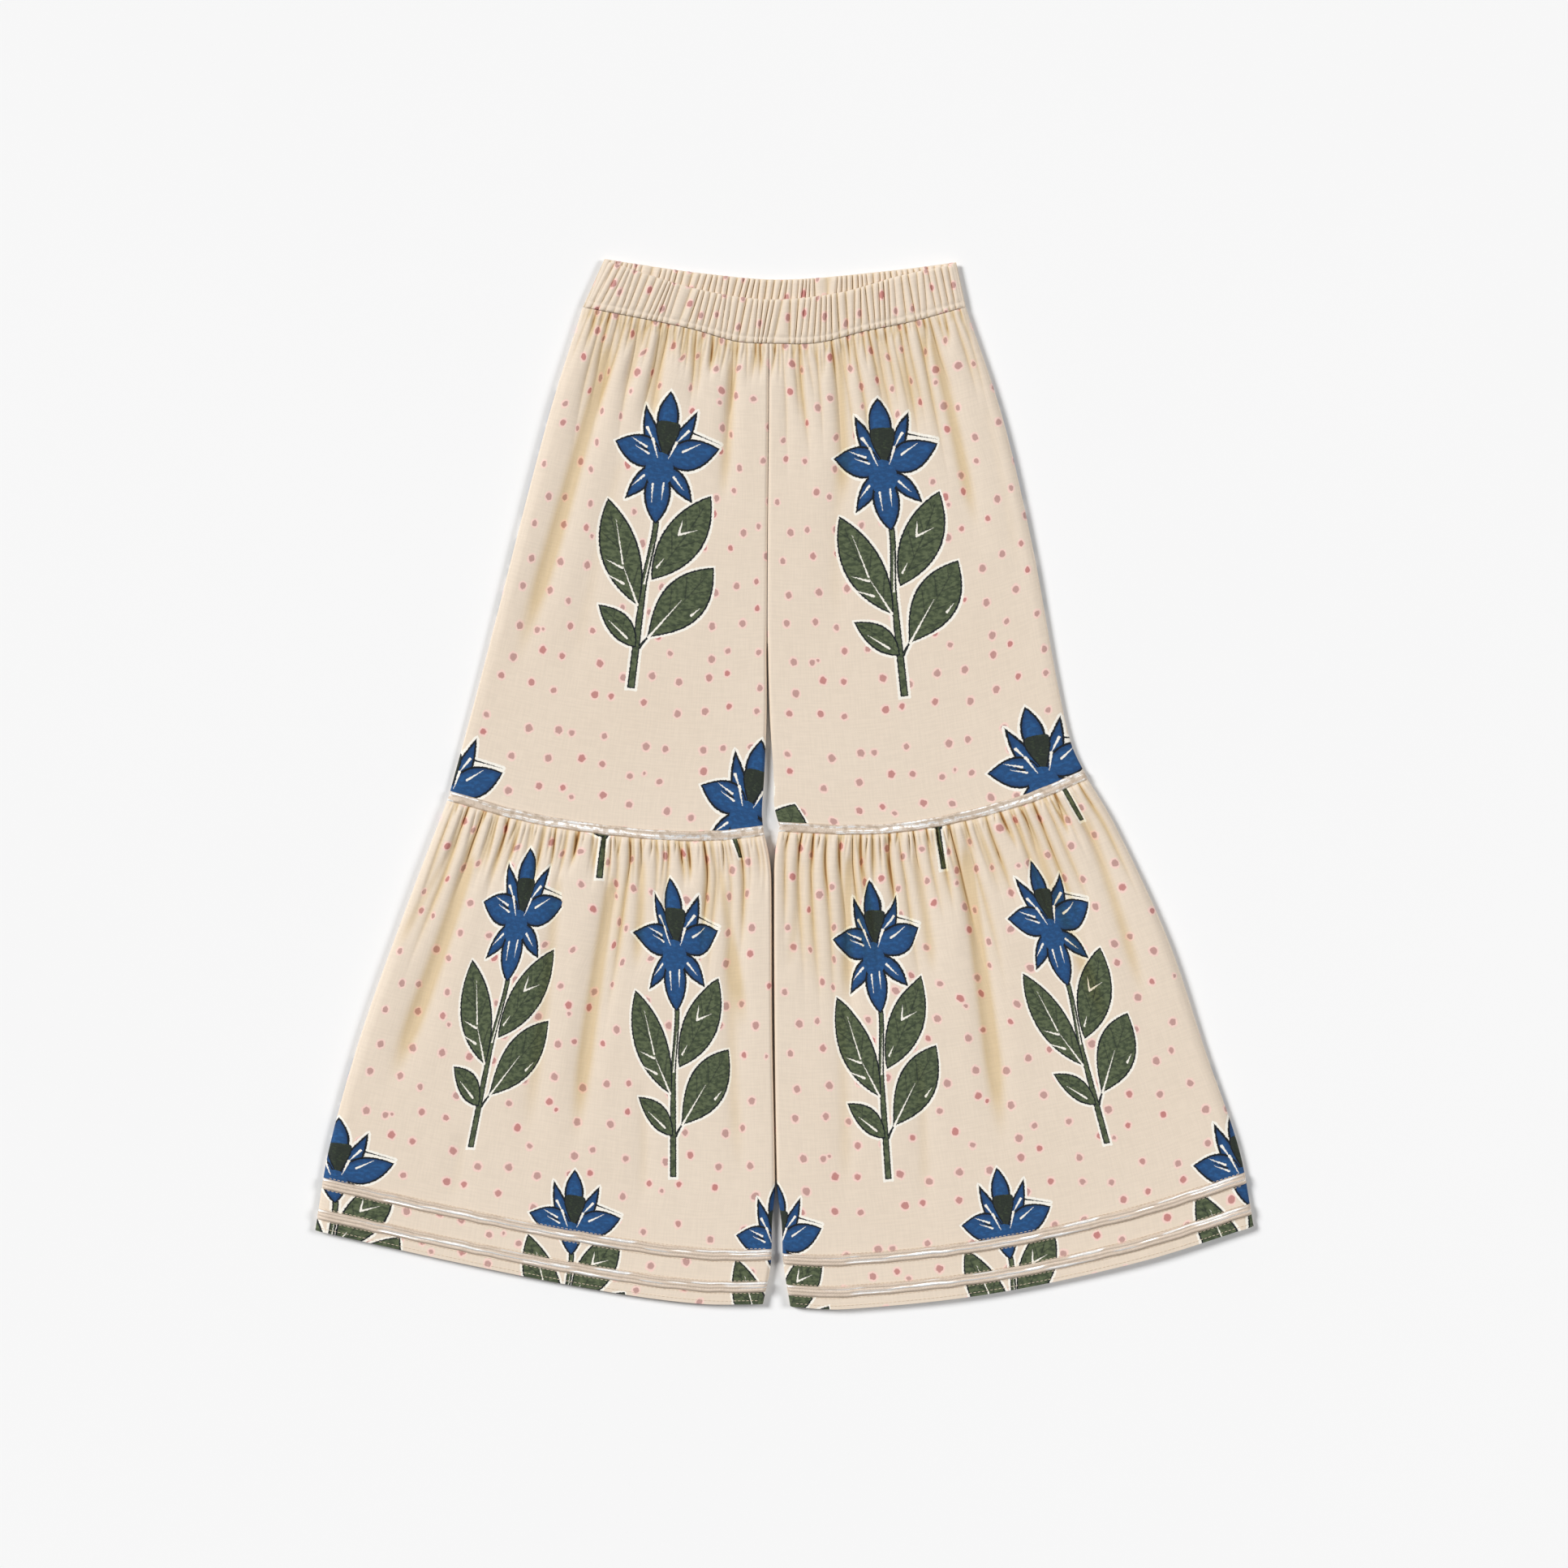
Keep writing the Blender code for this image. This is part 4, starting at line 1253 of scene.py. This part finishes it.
def metallic_braid(look, name, silver_and_glint_share, crinkle):
    """A narrow woven braid: dull thread, with bright metal thread in stretches along it, whose near-white
    colour is partly painted highlight. The darker thread between the threads and in short puckers is
    painted shade; crinkle is how much the puckers break the painted highlight up and darken the thread."""
    material, n, shader = new_material(name)
    cloth = n.add("ShaderNodeUVMap", uv_map="cloth").outputs[0]
    separate = n.add("ShaderNodeSeparateXYZ", cloth)
    along, across = separate.outputs["X"], separate.outputs["Y"]
    slant = n.math("ADD", n.math("MULTIPLY", along, 1 / look.braid_thread),
                   n.math("MULTIPLY", n.math("SINE", n.math("MULTIPLY", across, 2200)), 0.35))
    threads = n.math("ABSOLUTE", n.math("SINE", n.math("MULTIPLY", slant, math.pi)))
    lines = n.math("ABSOLUTE", n.math("SINE", n.math("MULTIPLY", across, math.pi / 0.0021)))
    stretches = n.noise(n.vector("MULTIPLY", cloth, (28, 420, 0)), 1.0, 1.5, noise_dimensions="2D")["Fac"]
    # Stretches of metal thread: their near-white colour is partly painted highlight.
    bright = n.smooth(stretches, 0.60 - silver_and_glint_share, 0.68 - silver_and_glint_share)
    glint = n.math("MULTIPLY", bright, n.smooth(lines, 0.1, 0.5))
    puckers = n.noise(n.vector("MULTIPLY", cloth, (260, 330, 0)), 1.0, 2.0, noise_dimensions="2D")["Fac"]
    glint = n.math("MULTIPLY", glint, n.smooth(puckers, 0.42, 0.6, 1.0, 1 - crinkle))
    # Painted shade: the darker braid colour between the threads and in the puckers.
    dull = n.mix(n.smooth(threads, 0.1, 0.8), opaque(look.braid_dark), opaque(look.braid))
    dull = n.mix(n.smooth(puckers, 0.5, 0.7, 0.0, crinkle), dull, opaque(look.braid_dark))
    n.put(n.mix(glint, dull, opaque(look.silver_and_painted_glint)), shader.inputs["Base Color"])
    n.put(n.smooth(glint, 0.0, 1.0, 0.15, 0.4), shader.inputs["Metallic"])
    n.put(n.smooth(glint, 0.0, 1.0, 0.52, 0.3), shader.inputs["Roughness"])
    ribs = n.math("ADD", threads, n.math("MULTIPLY", lines, 1.2))
    n.put(n.bump(ribs, 0.5, 0.0002), shader.inputs["Normal"])
    return material


def sewing_thread(look):
    material, n, shader = new_material("sewing thread")
    place = n.add("ShaderNodeTexCoord").outputs["Object"]
    twist = n.add("ShaderNodeTexWave", place, wave_type="BANDS")
    twist.inputs["Scale"].default_value = 900
    colour = n.mix(twist.outputs["Fac"], opaque(look.thread_dark), opaque(look.thread_colour))
    n.put(colour, shader.inputs["Base Color"])
    n.put(n.smooth(twist.outputs["Fac"], 0, 1, 0.6, 0.8), shader.inputs["Roughness"])
    return material


def pale_floor():
    material, n, shader = new_material("pale floor")
    place = n.add("ShaderNodeTexCoord").outputs["Object"]
    paper = n.add("ShaderNodeTexNoise", place)
    paper.inputs["Scale"].default_value = 3.0
    colour = n.mix(paper.outputs["Fac"], (0.935, 0.935, 0.935, 1), (0.95, 0.95, 0.95, 1))
    n.put(colour, shader.inputs["Base Color"])
    shader.inputs["Roughness"].default_value = 0.9
    shader.inputs["Specular IOR Level"].default_value = 0.1
    return material


def colour_property(name, description, value):
    return FloatVectorProperty(
        name=name, description=description, default=value, size=3, min=0, max=1, subtype="COLOR"
    )


def number_property(name, description, value, **limits):
    return FloatProperty(name=name, description=description, default=value, min=0, **limits)


def from_screen(red, green, blue):
    """A colour given as 0 to 255 on a screen, as the shader takes it."""
    values = (red / 255, green / 255, blue / 255)
    return tuple(v / 12.92 if v <= 0.04045 else ((v + 0.055) / 1.055) ** 2.4 for v in values)


class TrousersLook(bpy.types.PropertyGroup):
    """Colours and thread sizes of the cloth and braid."""

    cream: colour_property("Cream", "Ground colour of the cotton", from_screen(234, 219, 201))
    cream_warm: colour_property("Warm cream", "Warmer patches of the ground", from_screen(230, 213, 193))
    # Painted shade: the fold tan, the crease colour and the fold tint darken and warm the cloth in its
    # folds and creases.
    tan: colour_property("Fold tan", "What the folds take of the light", from_screen(234, 220, 182))
    crease_shade: colour_property("Crease", "What the deepest creases take", from_screen(200, 168, 136))
    fold_shade_strength: number_property("Fold tint", "How strong the folds' tint is", 1.0, max=1)
    halo: colour_property("Pale line", "Line left round the print", from_screen(250, 245, 234))
    blue: colour_property("Blue", "Ink of the petals", from_screen(36, 76, 122))
    blue_pale: colour_property("Pale blue", "Where the blue ink is thin", from_screen(44, 100, 158))
    blue_dark: colour_property("Dark blue", "The blue ink near a petal's edge", from_screen(28, 56, 98))
    green: colour_property("Green", "Ink of the leaves and stem", from_screen(94, 104, 76))
    green_dark: colour_property("Dark green", "Where the green ink is thick", from_screen(66, 76, 56))
    outline: colour_property("Outline", "Dark line of the print", from_screen(20, 26, 32))
    dot: colour_property("Dot", "Dusty pink dots", from_screen(190, 150, 143))
    dot_red: colour_property("Red dot", "The redder dots", from_screen(194, 124, 120))
    dot_halo: colour_property("Dot ring", "Pale ring round a dot", from_screen(248, 211, 201))
    dot_pitch: number_property("Dot pitch", "Distance between dots", 0.0200, unit="LENGTH")
    thread: number_property("Thread", "Pitch of the weave", 0.00042, unit="LENGTH")
    weave_bump: number_property("Weave bump", "Strength of the weave", 0.35, max=1)
    braid: colour_property("Braid", "Dull thread of the braid", from_screen(226, 209, 192))
    braid_dark: colour_property("Dark braid", "Shaded thread of the braid", from_screen(188, 168, 146))
    # Partly painted highlight: the near-white of the bright metal thread.
    silver_and_painted_glint: colour_property("Silver", "Bright metal thread", from_screen(255, 254, 252))
    braid_thread: number_property("Braid thread", "Pitch of the braid's threads", 0.0007, unit="LENGTH")
    thread_colour: colour_property("Stitch", "Sewing thread", from_screen(232, 216, 196))
    thread_dark: colour_property("Dark stitch", "Shaded sewing thread", from_screen(204, 180, 150))


class StudioSettings(bpy.types.PropertyGroup):
    """The camera and lights."""

    camera_height: number_property("Camera height", "Above the cloth", 2.683, unit="LENGTH")
    lens: number_property("Lens", "Focal length in millimetres", 100)
    key: number_property("Key light", "Strength of the large soft light", 3.1)
    fill: number_property("Fill light", "Strength of the light from the right", 1.5)
    height: number_property("Height", "Both lights' angle above the cloth, in degrees", 36)
    key_turn: number_property("Key turn", "Anticlockwise from the right, in degrees", 155)
    fill_turn: number_property("Fill turn", "Anticlockwise from the right, in degrees", 8)
    softness: number_property("Softness", "Width of both lights, in degrees", 20)
    sky: number_property("Surround", "Strength of the even light all round", 0.13)


def make_panels(part):
    """Both legs' front and back panels of one part."""
    for side in OUTLINES:
        for face in WAIST_SEAMS:
            make_panel(part, side, face, bpy.data.materials["printed cotton"])


class SHARARA_OT_finishes(bpy.types.Operator):
    """Makes the printed cotton, the braids and the sewing thread"""

    bl_idname = "sharara.finishes"
    bl_label = "Cloth and braid finishes"

    def execute(self, context):
        look = context.scene.trousers_look
        printed_cotton(look)
        metallic_braid(look, "knee braid", 0.16, 0.8)
        metallic_braid(look, "hem braid", 0.05, 0.25)
        sewing_thread(look)
        return {"FINISHED"}


class SHARARA_OT_upper_legs(bpy.types.Operator):
    """Makes the front and back panels of both upper legs"""

    bl_idname = "sharara.upper_legs"
    bl_label = "Upper legs"

    def execute(self, context):
        make_panels("leg")
        return {"FINISHED"}


class SHARARA_OT_flounces(bpy.types.Operator):
    """Makes the gathered front and back panels of both flounces"""

    bl_idname = "sharara.flounces"
    bl_label = "Flounces"

    def execute(self, context):
        make_panels("flounce")
        return {"FINISHED"}


class SHARARA_OT_waistband(bpy.types.Operator):
    """Makes both halves of the ruched waistband"""

    bl_idname = "sharara.waistband"
    bl_label = "Waistband"

    def execute(self, context):
        cloth = bpy.data.materials["printed cotton"]
        make_waistband("waistband_front", WAIST_FRONT_TOP, WAIST_FRONT_SEAM, BAND_FRONT_REST, 20, cloth)
        make_waistband("waistband_back", WAIST_BACK_TOP, WAIST_BACK_SEAM, 0.0, 24, cloth)
        return {"FINISHED"}


class SHARARA_OT_braids(bpy.types.Operator):
    """Makes the braid over each knee seam and the two round each hem"""

    bl_idname = "sharara.braids"
    bl_label = "Braids"

    def execute(self, context):
        knee, hem = bpy.data.materials["knee braid"], bpy.data.materials["hem braid"]
        for side in OUTLINES:
            leg, flounce = Panel("leg", side, "front"), Panel("flounce", side, "front")
            top_long, hem_long = flounce.wide(np.array(0.0)), flounce.wide(np.array(1.0))
            lay = seam_braid_lay(leg, flounce)
            make_braid(f"seam_braid_{side}", lay, top_long, SEAM_BRAID_WIDE, SEAM_BRAID_RIBS, knee)
            for row, above in HEM_BRAIDS_ABOVE_HEM.items():
                lay = hem_braid_lay(flounce, above)
                name = f"hem_braid_{row}_{side}"
                make_braid(name, lay, hem_long, HEM_BRAID_WIDE, HEM_BRAID_RIBS, hem)
        return {"FINISHED"}


class SHARARA_OT_stitching(bpy.types.Operator):
    """Sews the hems and the edges of the hem braids"""

    bl_idname = "sharara.stitching"
    bl_label = "Stitching"

    def execute(self, context):
        thread = bpy.data.materials["sewing thread"]
        for side in OUTLINES:
            flounce = Panel("flounce", side, "front")

            def on_cloth(s, t):
                points = flounce.surface(s[None], t[None])[0][0]
                points[:, 2] += THREAD / 4
                return points

            start, end = STITCHES_RUN
            wide = float(flounce.wide(np.array(1.0)))
            beside = HEM_BRAID_WIDE / 2 + STITCH_BESIDE_BRAID
            braids = HEM_BRAIDS_ABOVE_HEM.values()
            lines = []
            for above in (HEM_STITCH_ABOVE, *(high + edge * beside for high in braids for edge in (-1, 1))):
                t = 1 - above / flounce.long
                lines.append(stitch_line(on_cloth, (start, t), (end, t), wide))
            make_stitches(f"hem_stitches_{side}", lines, thread)
        return {"FINISHED"}


def soft_light(name, strength, height, turn, softness):
    """A large soft light, far enough to be even over the cloth. Its angles are in degrees:
    above the cloth, and turned anticlockwise from the right."""
    data = bpy.data.lights.new(name, "SUN")
    data.energy = strength
    data.angle = math.radians(softness)
    light = bpy.data.objects.new(name, data)
    bpy.context.scene.collection.objects.link(light)
    light.rotation_euler = (0, math.radians(90 - height), math.radians(turn))
    return light


class SHARARA_OT_studio(bpy.types.Operator):
    """Sets the pale floor, the soft lights and the camera straight above"""

    bl_idname = "sharara.studio"
    bl_label = "Floor, lights and camera"

    def execute(self, context):
        studio = context.scene.studio_settings
        bpy.ops.object.select_all(action="DESELECT")
        bpy.ops.mesh.primitive_plane_add(size=FLOOR_SIZE, location=(0, 0, -FLOOR_BELOW))
        floor = context.object
        floor.name = floor.data.name = "floor"
        floor.data.materials.append(pale_floor())
        soft_light("key light", studio.key, studio.height, studio.key_turn, studio.softness)
        soft_light("fill light", studio.fill, studio.height, studio.fill_turn, studio.softness)
        world = bpy.data.worlds.new("surround")
        world.use_nodes = True
        background = world.node_tree.nodes["Background"]
        background.inputs["Color"].default_value = (1, 1, 1, 1)
        background.inputs["Strength"].default_value = studio.sky
        context.scene.world = world
        camera_data = bpy.data.cameras.new("camera")
        camera_data.lens = studio.lens
        camera_data.sensor_width = 36
        camera_data.clip_end = 50
        camera = bpy.data.objects.new("camera", camera_data)
        camera.location = (CAMERA_X, 0, studio.camera_height + CLOTH_TOP)
        context.scene.collection.objects.link(camera)
        context.scene.camera = camera
        context.scene.view_settings.view_transform = "Standard"
        return {"FINISHED"}


STEPS = (
    SHARARA_OT_finishes, SHARARA_OT_upper_legs, SHARARA_OT_flounces, SHARARA_OT_waistband,
    SHARARA_OT_braids, SHARARA_OT_stitching, SHARARA_OT_studio,
)


class SHARARA_PT_panel(bpy.types.Panel):
    """Lists the steps that dress the trousers"""

    bl_idname = "SHARARA_PT_panel"
    bl_label = "Sharara trousers"
    bl_space_type = "VIEW_3D"
    bl_region_type = "UI"
    bl_category = "Trousers"

    def draw(self, context):
        for step in STEPS:
            self.layout.operator(step.bl_idname)


CLASSES = (TrousersLook, StudioSettings, *STEPS, SHARARA_PT_panel)


def register():
    for cls in CLASSES:
        bpy.utils.register_class(cls)
    bpy.types.Scene.trousers_look = PointerProperty(type=TrousersLook)
    bpy.types.Scene.studio_settings = PointerProperty(type=StudioSettings)


def unregister():
    del bpy.types.Scene.studio_settings
    del bpy.types.Scene.trousers_look
    for cls in reversed(CLASSES):
        bpy.utils.unregister_class(cls)


def main():
    register()
    bpy.ops.sharara.finishes()
    bpy.ops.sharara.upper_legs()
    bpy.ops.sharara.flounces()
    bpy.ops.sharara.waistband()
    bpy.ops.sharara.braids()
    bpy.ops.sharara.stitching()
    bpy.ops.sharara.studio()


if __name__ == "__main__":
    main()
